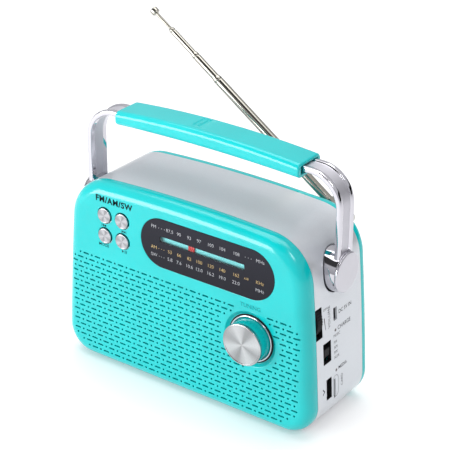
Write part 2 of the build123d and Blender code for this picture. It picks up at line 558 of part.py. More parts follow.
def aerial():
    """Bracket, swivelling knuckle, elbow pin, fork and the telescopic tubes."""
    bracket = rod_y(PIVOT_X, PIVOT_Z, 6.0, BACK_Y, BACK_Y + 1.6)
    keep("aerial_bracket", bracket + rod_y(PIVOT_X, PIVOT_Z, 2.0, BACK_Y + 1.6, 38.6)
         + rod_y(PIVOT_X, PIVOT_Z, 3.4, 38.5, 39.4))
    knuckle = rod_y(PIVOT_X, PIVOT_Z, 4.6, BACK_Y + 1.9, 38.2)
    knuckle += aerial_block((-2.4, 2.4), (-1.1, 1.1), 2.0, ELBOW)
    knuckle += elbow_pin_rod(2.4, 1.1)
    knuckle -= rod_y(PIVOT_X, PIVOT_Z, 2.0 + FIT, BACK_Y, 40)
    keep("aerial_knuckle", knuckle - elbow_pin_rod(1.0 + FIT, 3.0))
    fork = aerial_rod(2.6, ELBOW + 3.0, TUBE_START) + aerial_rod(2.2, TUBE_START, TUBE_START + 2.6)
    for side in (-1, 1):
        cheek = sorted((side * 1.4, side * 2.6))
        fork += aerial_block((-2.2, 2.2), cheek, ELBOW, ELBOW + 4.0)
        fork += elbow_pin_rod(2.2, 2.6) & aerial_block((-3, 3), cheek, ELBOW - 3, ELBOW + 3)
    keep("aerial_fork", fork - elbow_pin_rod(1.0, 3.0))
    keep("elbow_pin", elbow_pin_rod(1.0, 2.9))
    names = ("aerial_tube_outer", "aerial_tube_middle", "aerial_tube_inner")
    for name, end, length, (outer, inner) in zip(names, TUBE_ENDS, TUBE_LENGTHS, TUBE_RADII):
        tube = aerial_rod(outer, end - length, end)
        rims = tube.edges().filter_by(GeomType.CIRCLE)
        tube = chamfer(rims.sort_by_distance(aerial_plane(end).origin)[0], 0.25)
        keep(name, tube - aerial_rod(inner, end - length - 1, end + 1))
    tip = aerial_rod(TIP_R, ROD_END, ROD_END + TIP_LENGTH)
    rims = tip.edges().filter_by(GeomType.CIRCLE)
    keep("aerial_tip", fillet(rims, 0.5) + aerial_rod(ROD_R, ROD_END - ROD_LENGTH, ROD_END))


def main():
    """Build every piece and write one STEP file for each."""
    os.makedirs("parts", exist_ok=True)
    for build in (front_shell, band, rear_shell, battery, fasteners, dial, pointer, tuning_drive,
                  buttons, speaker, boards, side_controls, handle, aerial):
        build()
    for name, solids in PARTS.items():
        shape = solids[0] if len(solids) == 1 else Compound(children=list(solids))
        export_step(shape, f"parts/{name}.step")


main()
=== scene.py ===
"""Looks of a portable transistor radio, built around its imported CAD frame.

Frame: +X to the right of the face, +Y to the back, +Z up. Sizes in the classes are
millimetres, and every mesh is made in metres in the frame's own coordinates.
"""
import logging
import math
from dataclasses import dataclass
from enum import Enum
from functools import cache
from typing import Any, Callable, Iterable, Sequence

import bmesh
import bpy
from mathutils import Matrix, Vector


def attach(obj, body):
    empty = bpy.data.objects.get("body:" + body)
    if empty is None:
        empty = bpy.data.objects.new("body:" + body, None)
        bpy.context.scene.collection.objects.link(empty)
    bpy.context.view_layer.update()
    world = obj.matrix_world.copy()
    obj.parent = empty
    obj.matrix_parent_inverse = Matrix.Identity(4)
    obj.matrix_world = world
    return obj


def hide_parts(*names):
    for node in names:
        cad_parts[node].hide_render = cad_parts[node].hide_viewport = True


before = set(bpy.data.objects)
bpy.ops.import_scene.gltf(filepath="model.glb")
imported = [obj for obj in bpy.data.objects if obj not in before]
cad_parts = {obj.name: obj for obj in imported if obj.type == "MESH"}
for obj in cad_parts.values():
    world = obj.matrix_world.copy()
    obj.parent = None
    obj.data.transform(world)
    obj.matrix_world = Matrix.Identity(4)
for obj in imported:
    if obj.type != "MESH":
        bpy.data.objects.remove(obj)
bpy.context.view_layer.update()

LOG = logging.getLogger("radio")
MM = 0.001
Rgb = tuple[float, float, float]
Point2 = tuple[float, float]


# ---- shader building ----------------------------------------------------------------------
def operator(operation: str, swapped: bool = False) -> "Callable[[Value, Value | float], Value]":
    """Make an operator of Value that adds a Math node.

    Args:
        operation: the Math node's operation.
        swapped: whether the other operand comes first.

    Returns:
        The method.
    """
    def method(self: "Value", other: "Value | float") -> "Value":
        """Combine this value with another."""
        return self.shader.math(operation, *((other, self) if swapped else (self, other)))

    return method


class Value:
    """A number carried by a shader socket; arithmetic on it adds Math nodes."""

    def __init__(self, shader: "Shader", socket: bpy.types.NodeSocket) -> None:
        """Wrap a socket.

        Args:
            shader: the shader that owns the socket.
            socket: an output socket that carries a number.
        """
        self.shader = shader
        self.socket = socket

    __add__ = operator("ADD")
    __radd__ = operator("ADD")
    __sub__ = operator("SUBTRACT")
    __rsub__ = operator("SUBTRACT", swapped=True)
    __mul__ = operator("MULTIPLY")
    __rmul__ = operator("MULTIPLY")
    __truediv__ = operator("DIVIDE")
    __rtruediv__ = operator("DIVIDE", swapped=True)
    __pow__ = operator("POWER")

    def __abs__(self) -> "Value":
        """Size without sign."""
        return self.math("ABSOLUTE")

    def math(self, operation: str, *others: "Value | float") -> "Value":
        """Apply a Math node with this value as its first input.

        Args:
            operation: the Math node's operation.
            others: its further inputs.

        Returns:
            The node's result.
        """
        return self.shader.math(operation, self, *others)

    def smooth(self, low: float, high: float) -> "Value":
        """Rise softly from 0 to 1 as this value goes from low to high."""
        node = self.shader.node("ShaderNodeMapRange", {"interpolation_type": "SMOOTHSTEP"},
                                {"Value": self, "From Min": low, "From Max": high})
        return Value(self.shader, node.outputs["Result"])


class Shader:
    """The node tree of one material or of the surroundings."""

    def __init__(self, name: str, tree: bpy.types.NodeTree | None = None) -> None:
        """Start an empty tree.

        Args:
            name: the material's name.
            tree: tree to fill in place of a new material's.
        """
        self.material: bpy.types.Material | None = None
        if tree is None:
            self.material = bpy.data.materials.new(name)
            self.material.use_nodes = True
            tree = self.material.node_tree
        self.tree = tree
        self.tree.nodes.clear()
        self._place: bpy.types.NodeSocket | None = None

    def node(self, kind: str, settings: dict[str, Any] | None = None,
             sockets: dict[str | int, Any] | None = None) -> bpy.types.Node:
        """Add a node.

        Args:
            kind: the node's type.
            settings: its properties, set first; "stops" holds a ramp's (place, colour) pairs.
            sockets: the value, Value or output socket for each named input.

        Returns:
            The new node.
        """
        node = self.tree.nodes.new(kind)
        for key, setting in (settings or {}).items():
            if key == "stops":
                elements = node.color_ramp.elements
                while len(elements) < len(setting):
                    elements.new(0.5)
                for element, (place, colour) in zip(elements, setting):
                    element.position = place
                    element.color = (*colour, 1.0)
            else:
                setattr(node, key, setting)
        for key, value in (sockets or {}).items():
            target = node.inputs[key]
            if isinstance(value, Value):
                self.tree.links.new(value.socket, target)
            elif isinstance(value, bpy.types.NodeSocket):
                self.tree.links.new(value, target)
            elif isinstance(value, tuple) and len(value) == 3 and target.type == "RGBA":
                target.default_value = (*value, 1.0)
            else:
                target.default_value = value
        return node

    def math(self, operation: str, *operands: Value | float) -> Value:
        """Add a Math node.

        Args:
            operation: its operation.
            operands: its inputs in order.

        Returns:
            The node's result.
        """
        node = self.node("ShaderNodeMath", {"operation": operation}, dict(enumerate(operands)))
        return Value(self, node.outputs[0])

    def place(self) -> bpy.types.NodeSocket:
        """Position on the piece, in metres, as it stands at rest."""
        if self._place is None:
            self._place = self.node("ShaderNodeTexCoord").outputs["Object"]
        return self._place

    def axes(self) -> tuple[Value, Value, Value]:
        """The three coordinates of the position, in metres."""
        split = self.node("ShaderNodeSeparateXYZ", None, {"Vector": self.place()})
        return tuple(Value(self, split.outputs[i]) for i in range(3))

    def scaled(self, scale: Rgb) -> bpy.types.NodeSocket:
        """The position multiplied by a different factor along each axis."""
        node = self.node("ShaderNodeVectorMath", {"operation": "MULTIPLY"},
                         {0: self.place(), 1: scale})
        return node.outputs["Vector"]

    def noise(self, scale: float, detail: float = 3.0, roughness: float = 0.5,
              vector: bpy.types.NodeSocket | None = None) -> Value:
        """Cloudy noise around 0.5.

        Args:
            scale: waves per metre.
            detail: number of finer layers.
            roughness: how strong the finer layers are.
            vector: position to read it at, the piece's own by default.

        Returns:
            The noise's value.
        """
        node = self.node("ShaderNodeTexNoise", None,
                         {"Vector": vector or self.place(), "Scale": scale, "Detail": detail,
                          "Roughness": roughness})
        return Value(self, node.outputs["Fac"])

    def mix(self, factor: Value, low: Any, high: Any) -> bpy.types.NodeSocket:
        """Blend two colours.

        Args:
            factor: share of the second colour.
            low: colour or colour socket at factor 0.
            high: colour or colour socket at factor 1.

        Returns:
            The blended colour.
        """
        node = self.node("ShaderNodeMix", {"data_type": "RGBA", "clamp_factor": True},
                         {"Factor": factor})
        for index, value in ((6, low), (7, high)):
            if isinstance(value, bpy.types.NodeSocket):
                self.tree.links.new(value, node.inputs[index])
            else:
                node.inputs[index].default_value = (*value, 1.0)
        return node.outputs[2]

    def bump(self, height: Value, distance: float) -> bpy.types.NodeSocket:
        """Turn a height between 0 and 1 into a surface normal.

        Args:
            height: the height.
            distance: metres of relief at height 1.

        Returns:
            The normal.
        """
        node = self.node("ShaderNodeBump", None, {"Height": height, "Distance": distance})
        return node.outputs["Normal"]

    def surface(self, sockets: dict[str, Any]) -> bpy.types.Material:
        """Finish the material with one principled surface.

        Args:
            sockets: values and links of the surface's inputs.

        Returns:
            The material.
        """
        body = self.node("ShaderNodeBsdfPrincipled", None, sockets)
        self.node("ShaderNodeOutputMaterial", None, {"Surface": body.outputs[0]})
        return self.material


def tint(colour: Rgb, factor: float) -> Rgb:
    """A colour made lighter or darker."""
    return tuple(min(1.0, channel * factor) for channel in colour)


# ---- finishes -----------------------------------------------------------------------------
@dataclass(frozen=True)
class GlossPlastic:
    """Glossy coloured plastic: faint waviness, smudges in its gloss and a touch of unevenness."""

    name: str
    colour: Rgb
    roughness: float = 0.19
    coat: float = 0.22
    waves: float = 420.0
    relief: float = 0.000012

    @cache
    def material(self) -> bpy.types.Material:
        """Make the material."""
        shader = Shader(self.name)
        cloud = shader.noise(38.0, 4.0)
        smudge = shader.noise(150.0, 5.0, 0.65)
        colour = shader.mix(cloud.smooth(0.3, 0.7), tint(self.colour, 0.965),
                            tint(self.colour, 1.03))
        return shader.surface({
            "Base Color": colour, "Roughness": self.roughness + (smudge - 0.5) * 0.10,
            "IOR": 1.40, "Coat Weight": self.coat, "Coat Roughness": 0.12,
            "Normal": shader.bump(shader.noise(self.waves, 2.0), self.relief)})


@dataclass(frozen=True)
class PearlLacquer:
    """Silver lacquer with fine metal flakes under a clear coat."""

    name: str
    colour: Rgb
    roughness: float = 0.33
    metallic: float = 0.45

    @cache
    def material(self) -> bpy.types.Material:
        """Make the material."""
        shader = Shader(self.name)
        flakes = shader.node("ShaderNodeTexVoronoi", {"feature": "F1"},
                             {"Vector": shader.place(), "Scale": 5200.0})
        split = shader.node("ShaderNodeSeparateColor", None,
                            {"Color": flakes.outputs["Color"]})
        sparkle = Value(shader, split.outputs[0])
        cloud = shader.noise(26.0, 3.0)
        level = sparkle * 0.6 + cloud * 0.4
        colour = shader.mix(level, tint(self.colour, 0.93), tint(self.colour, 1.06))
        return shader.surface({
            "Base Color": colour, "Metallic": self.metallic,
            "Roughness": self.roughness + (shader.noise(120.0, 4.0) - 0.5) * 0.08,
            "Coat Weight": 0.25, "Coat Roughness": 0.18,
            "Normal": shader.bump(sparkle * 0.5 + shader.noise(900.0, 2.0) * 0.5, 0.000006)})


@dataclass(frozen=True)
class Polished:
    """Bright plated metal with hairline wipe marks; a middle strip can be satin."""

    name: str
    colour: Rgb
    roughness: float = 0.05
    satin_half: float = 0.0
    satin_roughness: float = 0.5
    grain: Rgb = (60.0, 60.0, 1200.0)

    @cache
    def material(self) -> bpy.types.Material:
        """Make the material."""
        shader = Shader(self.name)
        wipes = shader.noise(1.0, 3.0, 0.6, shader.scaled(self.grain))
        haze = shader.noise(70.0, 4.0)
        roughness = self.roughness + haze.smooth(0.45, 0.8) * 0.05 + wipes * 0.03
        if self.satin_half:
            across = abs(shader.axes()[1])
            strip = 1 - across.smooth(self.satin_half - 0.0002, self.satin_half + 0.0002)
            roughness = roughness + strip * (self.satin_roughness - self.roughness)
        colour = shader.mix(haze, tint(self.colour, 0.95), tint(self.colour, 1.03))
        return shader.surface({
            "Base Color": colour, "Metallic": 1.0, "Roughness": roughness,
            "Normal": shader.bump(wipes, 0.0000015)})


@dataclass(frozen=True)
class SpunMetal:
    """Turned aluminium: fine circles about an axis along Y, with bright and dull rays painted into
    its colour as painted highlights and painted shade.

    With a pitch, the centres repeat on a square grid.
    """

    name: str
    colour: Rgb
    centre: Point2
    pitch: float = 0.0
    roughness: float = 0.24
    rings: float = 5200.0
    first_painted_ray: float = 23.0

    def offset(self, value: Value, middle: float) -> Value:
        """Distance from the nearest centre along one axis."""
        shift = value - middle * MM
        if not self.pitch:
            return shift
        width = self.pitch * MM
        return ((shift / width + 0.5).math("FRACT") - 0.5) * width

    @cache
    def material(self) -> bpy.types.Material:
        """Make the material."""
        shader = Shader(self.name)
        x, _, z = shader.axes()
        right, up = self.offset(x, self.centre[0]), self.offset(z, self.centre[1])
        radius = (right ** 2.0 + up ** 2.0) ** 0.5
        around = up.math("ARCTAN2", right)
        across = shader.node("ShaderNodeCombineXYZ", None, {"X": radius})
        turned = shader.node("ShaderNodeCombineXYZ", None,
                             {"X": around.math("COSINE"), "Y": around.math("SINE")})
        circles = shader.noise(self.rings, 2.0, 0.7, across.outputs[0])
        broad = shader.noise(900.0, 2.0, 0.5, across.outputs[0])
        # painted highlights and painted shade: bright and dull rays by angle round the axis,
        # painted into the base colour
        painted_rays = (around * 4.0 - math.radians(self.first_painted_ray * 4)).math("COSINE") * 0.5 + 0.5
        painted_rays = painted_rays * 0.75 + shader.noise(1.6, 2.0, 0.5, turned.outputs[0]).smooth(0.3, 0.7) * 0.25
        level = painted_rays * 0.7 + circles * 0.2 + broad * 0.1
        colour = shader.mix(level, tint(self.colour, 0.45), tint(self.colour, 1.4))
        return shader.surface({
            "Base Color": colour, "Metallic": 1.0,
            "Roughness": self.roughness + (circles - 0.5) * 0.12,
            "Normal": shader.bump(circles, 0.000008)})


@dataclass(frozen=True)
class SmokedPlastic:
    """Dark see-into plastic panel with a hard gloss, faint dust and painted light that makes it
    lighter towards the top.
    """

    name: str
    colour: Rgb

    @cache
    def material(self) -> bpy.types.Material:
        """Make the material."""
        shader = Shader(self.name)
        dust = shader.noise(2600.0, 2.0).smooth(0.68, 0.8)
        height = shader.axes()[2]
        # painted light: the colour goes from 0.85 of the panel's tint at its foot to 1.25 at its
        # top
        depth = height.smooth(0.076, 0.106)
        colour = shader.mix(depth, tint(self.colour, 0.85), tint(self.colour, 1.25))
        return shader.surface({
            "Base Color": shader.mix(dust * 0.2, colour, (0.1, 0.1, 0.12)),
            "Roughness": 0.07 + shader.noise(160.0, 4.0) * 0.06 + dust * 0.2,
            "IOR": 1.22})


@dataclass(frozen=True)
class ClearPlastic:
    """Thin clear strip that keeps its gloss but lets the scale plate show through."""

    name: str
    colour: Rgb

    @cache
    def material(self) -> bpy.types.Material:
        """Make the material."""
        shader = Shader(self.name)
        haze = shader.noise(300.0, 3.0)
        return shader.surface({
            "Base Color": self.colour, "Alpha": 0.01 + haze * 0.02, "Roughness": 0.05,
            "IOR": 1.15})


@dataclass(frozen=True)
class Grained:
    """Moulded plastic, rubber, card or ink with an even fine grain."""

    name: str
    colour: Rgb
    roughness: float = 0.5
    metallic: float = 0.0
    grain: float = 2400.0
    relief: float = 0.00002
    gloss: float = 1.5
    spread: float = 0.08
    stretch: Rgb = (1.0, 1.0, 1.0)

    @cache
    def material(self) -> bpy.types.Material:
        """Make the material."""
        shader = Shader(self.name)
        vector = shader.scaled(self.stretch)
        grain = shader.noise(self.grain, 3.0, 0.6, vector)
        cloud = shader.noise(80.0, 3.0)
        colour = shader.mix(grain * 0.5 + cloud * 0.5, tint(self.colour, 1 - self.spread),
                            tint(self.colour, 1 + self.spread))
        return shader.surface({
            "Base Color": colour, "Metallic": self.metallic, "IOR": self.gloss,
            "Roughness": self.roughness + (cloud - 0.5) * 0.12,
            "Normal": shader.bump(grain, self.relief)})


@dataclass(frozen=True)
class CircuitBoard:
    """Green solder mask over tracks, with tinned pads in a grid."""

    name: str
    colour: Rgb

    @cache
    def material(self) -> bpy.types.Material:
        """Make the material."""
        shader = Shader(self.name)
        cells = shader.node("ShaderNodeTexVoronoi", {"feature": "DISTANCE_TO_EDGE"},
                            {"Vector": shader.place(), "Scale": 260.0})
        track = 1 - Value(shader, cells.outputs["Distance"]).smooth(0.03, 0.09)
        x, _, z = shader.axes()
        near = (x / 0.00254).math("FRACT") - 0.5, (z / 0.00254).math("FRACT") - 0.5
        pad = 1 - ((near[0] ** 2.0 + near[1] ** 2.0) ** 0.5).smooth(0.16, 0.22)
        pad = pad * shader.noise(240.0, 1.0).smooth(0.5, 0.52)
        green = shader.mix(track, self.colour, tint(self.colour, 1.9))
        return shader.surface({
            "Base Color": shader.mix(pad, green, (0.6, 0.6, 0.56)), "Metallic": pad,
            "Roughness": 0.32 - pad * 0.1, "Normal": shader.bump(track + pad, 0.00003)})


@dataclass(frozen=True)
class Lens:
    """Small tinted lamp window."""

    name: str
    colour: Rgb

    @cache
    def material(self) -> bpy.types.Material:
        """Make the material."""
        shader = Shader(self.name)
        return shader.surface({
            "Base Color": shader.mix(shader.noise(900.0), tint(self.colour, 0.8), self.colour),
            "Roughness": 0.12, "IOR": 1.5, "Coat Weight": 0.5})


TURQUOISE: Rgb = (0.003, 0.45, 0.455)
SHELL = GlossPlastic("gloss_turquoise", TURQUOISE)
GRIP = GlossPlastic("gloss_turquoise_grip", (0.006, 0.48, 0.49), roughness=0.16)
SILVER = PearlLacquer("pearl_silver", (0.60, 0.62, 0.655))
PANEL = SmokedPlastic("smoked_panel", (0.014, 0.014, 0.020))
WINDOW = ClearPlastic("clear_strip", (0.85, 0.95, 0.95))
SCALE_TEAL = Grained("scale_plate_teal", (0.16, 0.62, 0.64), roughness=0.4, relief=0.000008)
POINTER_RED = GlossPlastic("pointer_red", (0.42, 0.003, 0.005), roughness=0.4,
                           coat=0.0)
BLACK = Grained("black_plastic", (0.006, 0.006, 0.007), roughness=0.6, gloss=1.3)
NATURAL = Grained("natural_plastic", (0.55, 0.53, 0.47), roughness=0.45)
FIBRE = Grained("cord_fibre", (0.45, 0.42, 0.36), roughness=0.8, grain=9000.0)
BOARD = CircuitBoard("circuit_board", (0.015, 0.11, 0.045))
CHROME = Polished("bright_chrome", (0.53, 0.52, 0.56))
STRAP_CHROME = Polished("strap_chrome", (0.60, 0.59, 0.635), satin_half=0.0036)
NICKEL = Polished("nickel_tube", (0.36, 0.345, 0.305), roughness=0.10)
STEEL = Grained("plain_steel", (0.48, 0.48, 0.49), roughness=0.32, metallic=1.0,
                stretch=(0.2, 1.0, 1.0), relief=0.000008)
BRASS = Grained("brass", (0.66, 0.46, 0.18), roughness=0.3, metallic=1.0, relief=0.000008)
FERRITE = Grained("ferrite", (0.035, 0.032, 0.03), roughness=0.55)
PAPER = Grained("paper_cone", (0.04, 0.038, 0.036), roughness=0.85, relief=0.00006)
CELL = Grained("cell_wrap", (0.05, 0.16, 0.40), roughness=0.3, grain=600.0, relief=0.00001)
RUBBER = Grained("rubber", (0.028, 0.028, 0.03), roughness=0.75)
LENS = Lens("lamp_lens", (0.045, 0.02, 0.02))
INK_DARK = Grained("ink_dark", (0.004, 0.008, 0.010), roughness=0.8, relief=0.000002,
                   gloss=1.15)
INK_GREY = Grained("ink_grey", (0.012, 0.012, 0.020), roughness=0.8, relief=0.000002,
                   gloss=1.15)
INK_WHITE = Grained("ink_white", (0.42, 0.43, 0.46), roughness=0.45, relief=0.000002)
INK_CREAM = Grained("ink_cream", (0.52, 0.36, 0.14), roughness=0.45, relief=0.000002)
INK_TEAL = Grained("ink_teal", (0.001, 0.20, 0.21), roughness=0.6, relief=0.000002,
                   gloss=1.15)
KNOB_PLACE: Point2 = (46.1, 51.9)
KEY_CORNER: Point2 = (-52.5, 84.2)
KEY_PITCH = 12.4
KEY_PLACES: tuple[Point2, ...] = tuple(
    (KEY_CORNER[0] + KEY_PITCH * column, KEY_CORNER[1] + KEY_PITCH * row)
    for row in (1, 0) for column in (0, 1))
SPUN = SpunMetal("spun_aluminium", (0.44, 0.44, 0.45), KNOB_PLACE)
SPUN_KEYS = SpunMetal("spun_aluminium_keys", (0.40, 0.40, 0.42), KEY_CORNER, pitch=KEY_PITCH)


class Slot(Enum):
    """The record's material slots and the finish that each one takes."""

    TURQUOISE = ("turquoise_shell", SHELL)
    GRIP = ("grip_turquoise", GRIP)
    SILVER = ("silver_band", SILVER)
    PANEL = ("smoked_panel", PANEL)
    WINDOW = ("clear_window", WINDOW)
    SCALE = ("dial_teal", SCALE_TEAL)
    POINTER = ("pointer_red", POINTER_RED)
    BLACK = ("black_plastic", BLACK)
    NATURAL = ("natural_plastic", NATURAL)
    FIBRE = ("cord_fibre", FIBRE)
    BOARD = ("circuit_board", BOARD)
    SPUN = ("spun_aluminium", SPUN)
    SPUN_KEYS = ("spun_aluminium", SPUN_KEYS)
    CHROME = ("chrome", CHROME)
    STRAP = ("chrome", STRAP_CHROME)
    NICKEL = ("nickel_tube", NICKEL)
    STEEL = ("steel", STEEL)
    BRASS = ("brass", BRASS)
    FERRITE = ("ferrite", FERRITE)
    PAPER = ("paper_cone", PAPER)
    CELL = ("cell_wrap", CELL)
    LENS = ("light_lens", LENS)
    RUBBER = ("rubber", RUBBER)
    INK_DARK = ("black_plastic", INK_DARK)
    INK_GREY = ("black_plastic", INK_GREY)
    INK_WHITE = ("natural_plastic", INK_WHITE)
    INK_CREAM = ("natural_plastic", INK_CREAM)
    INK_TEAL = ("dial_teal", INK_TEAL)


# ---- mesh helpers -------------------------------------------------------------------------
def make_object(name: str, points: Iterable[Sequence[float]], faces: Iterable[Sequence[int]],
                sharp: float = 32.0) -> bpy.types.Object:
    """Make a smooth-shaded mesh object from points in millimetres.

    Args:
        name: the object's name.
        points: vertices, in millimetres.
        faces: vertex numbers of each face.
        sharp: degrees above which an edge stays sharp.

    Returns:
        The object, linked to the scene.
    """
    mesh = bpy.data.meshes.new(name)
    mesh.from_pydata([[c * MM for c in p] for p in points], [], [list(f) for f in faces])
    work = bmesh.new()
    work.from_mesh(mesh)
    bmesh.ops.recalc_face_normals(work, faces=work.faces)
    work.to_mesh(mesh)
    work.free()
    mesh.shade_smooth()
    mesh.set_sharp_from_angle(angle=math.radians(sharp))
    piece = bpy.data.objects.new(name, mesh)
    bpy.context.scene.collection.objects.link(piece)
    return piece


def dress(piece: bpy.types.Object, slot: Slot, body: str, *replaced: str) -> bpy.types.Object:
    """Give a piece its finish, its body and the CAD nodes it stands for.

    Args:
        piece: the object.
        slot: its material slot and finish.
        body: the CAD body that it moves with.
        replaced: CAD nodes that it replaces.

    Returns:
        The piece.
    """
    piece.data.materials.clear()
    piece.data.materials.append(slot.value[1].material())
    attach(piece, body)
    if replaced:
        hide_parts(*replaced)
    LOG.info("piece %s on %s, %s", piece.name, body, slot.value[0])
    return piece


def dress_node(slot: Slot, *names: str) -> None:
    """Give carried-over CAD nodes their finish.

    Args:
        slot: the material slot and finish.
        names: the nodes.
    """
    for name in names:
        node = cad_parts[name]
        for holder in node.material_slots:
            holder.material = slot.value[1].material()
        LOG.info("node %s, %s", name, slot.value[0])


def loft(rings: Sequence[Sequence[Sequence[float]]], closed: bool = False,
         capped: bool = True) -> tuple[list[Sequence[float]], list[list[int]]]:
    """Join rings of equal length with quads.

    Args:
        rings: the rings' points.
        closed: whether the last ring joins the first.
        capped: whether the first and last rings are filled.

    Returns:
        Points and faces.
    """
    count = len(rings[0])
    points = [p for ring in rings for p in ring]
    faces = []
    pairs = list(zip(range(len(rings) - 1), range(1, len(rings))))
    if closed:
        pairs.append((len(rings) - 1, 0))
    for low, high in pairs:
        for i in range(count):
            j = (i + 1) % count
            faces.append([low * count + i, low * count + j, high * count + j, high * count + i])
    if capped and not closed:
        faces.append(list(range(count)))
        faces.append([(len(rings) - 1) * count + i for i in range(count)])
    return points, faces


@dataclass(frozen=True)
class Axis:
    """A place and a direction that round pieces are turned about."""

    origin: tuple[float, float, float]
    along: tuple[float, float, float]

    def basis(self) -> tuple[Vector, Vector, Vector]:
        """Two directions across the axis and the one along it."""
        along = Vector(self.along).normalized()
        helper = Vector((0, 0, 1)) if abs(along.z) < 0.9 else Vector((1, 0, 0))
        across = helper.cross(along).normalized()
        return across, along.cross(across), along

    def turn(self, name: str, profile: Sequence[Point2], segments: int = 96) -> bpy.types.Object:
        """Turn a profile about the axis.

        Args:
            name: the object's name.
            profile: (radius, distance along the axis) pairs; its ends are closed if it
                doesn't come back to its start.
            segments: faces round the axis.

        Returns:
            The object.
        """
        across, other, along = self.basis()
        origin = Vector(self.origin)
        closed = profile[0] == profile[-1]
        steps = profile[:-1] if closed else profile
        rings = []
        for radius, height in steps:
            ring = []
            for i in range(segments):
                angle = 2 * math.pi * i / segments
                ring.append(origin + across * (radius * math.cos(angle))
                            + other * (radius * math.sin(angle)) + along * height)
            rings.append(ring)
        return make_object(name, *loft(rings, closed=closed))


def rounded(corners: Sequence[tuple[float, float, float]], steps: int = 5) -> list[Point2]:
    """Round the corners of a polyline.

    Args:
        corners: (x, y, radius) of each point; the first and last aren't rounded.
        steps: segments in each rounding.

    Returns:
        The rounded polyline's points.
    """
    result = [corners[0][:2]]
    for before, here, after in zip(corners, corners[1:], corners[2:]):
        radius = here[2]
        corner = Vector(here[:2])
        if radius <= 0:
            result.append(tuple(corner))
            continue
        start, end = (Vector(before[:2]) - corner), (Vector(after[:2]) - corner)
        half = start.angle(end) / 2
        reach = min(radius / math.tan(half), 0.49 * min(start.length, end.length))
        first, last = corner + start.normalized() * reach, corner + end.normalized() * reach
        centre = corner + (start.normalized() + end.normalized()).normalized() * (
            reach / math.cos(half))
        begin, finish = first - centre, last - centre
        turn = begin.angle_signed(finish)
        for i in range(steps + 1):
            angle = -turn * i / steps
            spun = Vector((begin.x * math.cos(angle) - begin.y * math.sin(angle),
                           begin.x * math.sin(angle) + begin.y * math.cos(angle)))
            result.append(tuple(centre + spun))
    result.append(corners[-1][:2])
    return result


def cut(piece: bpy.types.Object, *cutters: bpy.types.Object) -> bpy.types.Object:
    """Take cutters out of a piece and delete them.

    Args:
        piece: the closed mesh to cut.
        cutters: closed meshes.

    Returns:
        The piece, with its new mesh.
    """
    for cutter in cutters:
        modifier = piece.modifiers.new("cut", "BOOLEAN")
        modifier.operation, modifier.solver, modifier.object = "DIFFERENCE", "MANIFOLD", cutter
    return settle(piece, cutters)


def settle(piece: bpy.types.Object, helpers: Sequence[bpy.types.Object] = ()) -> bpy.types.Object:
    """Turn a piece's modifiers into its mesh.

    Args:
        piece: the object.
        helpers: objects that are deleted afterwards.

    Returns:
        The piece.
    """
    graph = bpy.context.evaluated_depsgraph_get()
    mesh = bpy.data.meshes.new_from_object(piece.evaluated_get(graph))
    piece.modifiers.clear()
    old, piece.data = piece.data, mesh
    bpy.data.meshes.remove(old)
    mesh.name = piece.name
    for helper in helpers:
        bpy.data.objects.remove(helper)
    return piece


def even_normals(piece: bpy.types.Object, sharp: float = 32.0) -> bpy.types.Object:
    """Shade large flats flat and their roundings round.

    Args:
        piece: the object.
        sharp: degrees above which an edge stays sharp.

    Returns:
        The piece.
    """
    piece.data.shade_smooth()
    piece.data.set_sharp_from_angle(angle=math.radians(sharp))
    modifier = piece.modifiers.new("normals", "WEIGHTED_NORMAL")
    modifier.keep_sharp, modifier.weight = True, 100
    return settle(piece)


def prism_y(name: str, outline: Sequence[Point2], stations: Sequence[tuple[float, float]]
            ) -> bpy.types.Object:
    """Make a closed solid from an outline in x and z that grows or shrinks with depth.

    Args:
        name: the object's name.
        outline: convex outline, in order.
        stations: (y, growth) of each section.

    Returns:
        The object.
    """
    normals = []
    count = len(outline)
    for i in range(count):
        ahead, behind = Vector(outline[(i + 1) % count]), Vector(outline[i - 1])
        edge = (ahead - behind).normalized()
        normals.append(Vector((edge.y, -edge.x)))
    area = sum(outline[i - 1][0] * outline[i][1] - outline[i][0] * outline[i - 1][1]
               for i in range(count))
    sign = 1.0 if area > 0 else -1.0
    rings = [[(p[0] + n.x * grow * sign, y, p[1] + n.y * grow * sign)
              for p, n in zip(outline, normals)] for y, grow in stations]
    return make_object(name, *loft(rings))


def stadium(x: float, z: float, width: float, height: float, steps: int = 24) -> list[Point2]:
    """Outline of a bar with round ends.

    Args:
        x: centre.
        z: centre.
        width: overall width.
        height: overall height, which is the ends' diameter.
        steps: segments of each end.

    Returns:
        The outline's points.
    """
    radius, reach = height / 2, (width - height) / 2
    result = []
    for side, start in ((1, -90), (-1, 90)):
        for i in range(steps + 1):
            angle = math.radians(start + 180 * i / steps)
            result.append((x + side * reach + radius * math.cos(angle),
                           z + radius * math.sin(angle)))
    return result if reach > 0 else result[:-1]


def disc(x: float, z: float, radius: float, steps: int = 48) -> list[Point2]:
    """Outline of a circle."""
    return [(x + radius * math.cos(2 * math.pi * i / steps),
             z + radius * math.sin(2 * math.pi * i / steps)) for i in range(steps)]


def lip(face: float, depth: float, radius: float, steps: int = 5) -> list[tuple[float, float]]:
    """Sections of a cutter that leaves a rounded rim on a face that looks along -Y.

    Args:
        face: y of the face.
        depth: how deep the cut goes.
        radius: rounding of its rim.
        steps: sections in the rounding.

    Returns:
        (y, growth) pairs.
    """
    sections = [(face - 1.0, radius), (face - 0.001, radius)]
    for i in range(1, steps + 1):
        angle = math.pi / 2 * i / steps
        sections.append((face + radius * (1 - math.cos(angle)), radius * (1 - math.sin(angle))))
    return sections + [(face + depth, 0.0)]


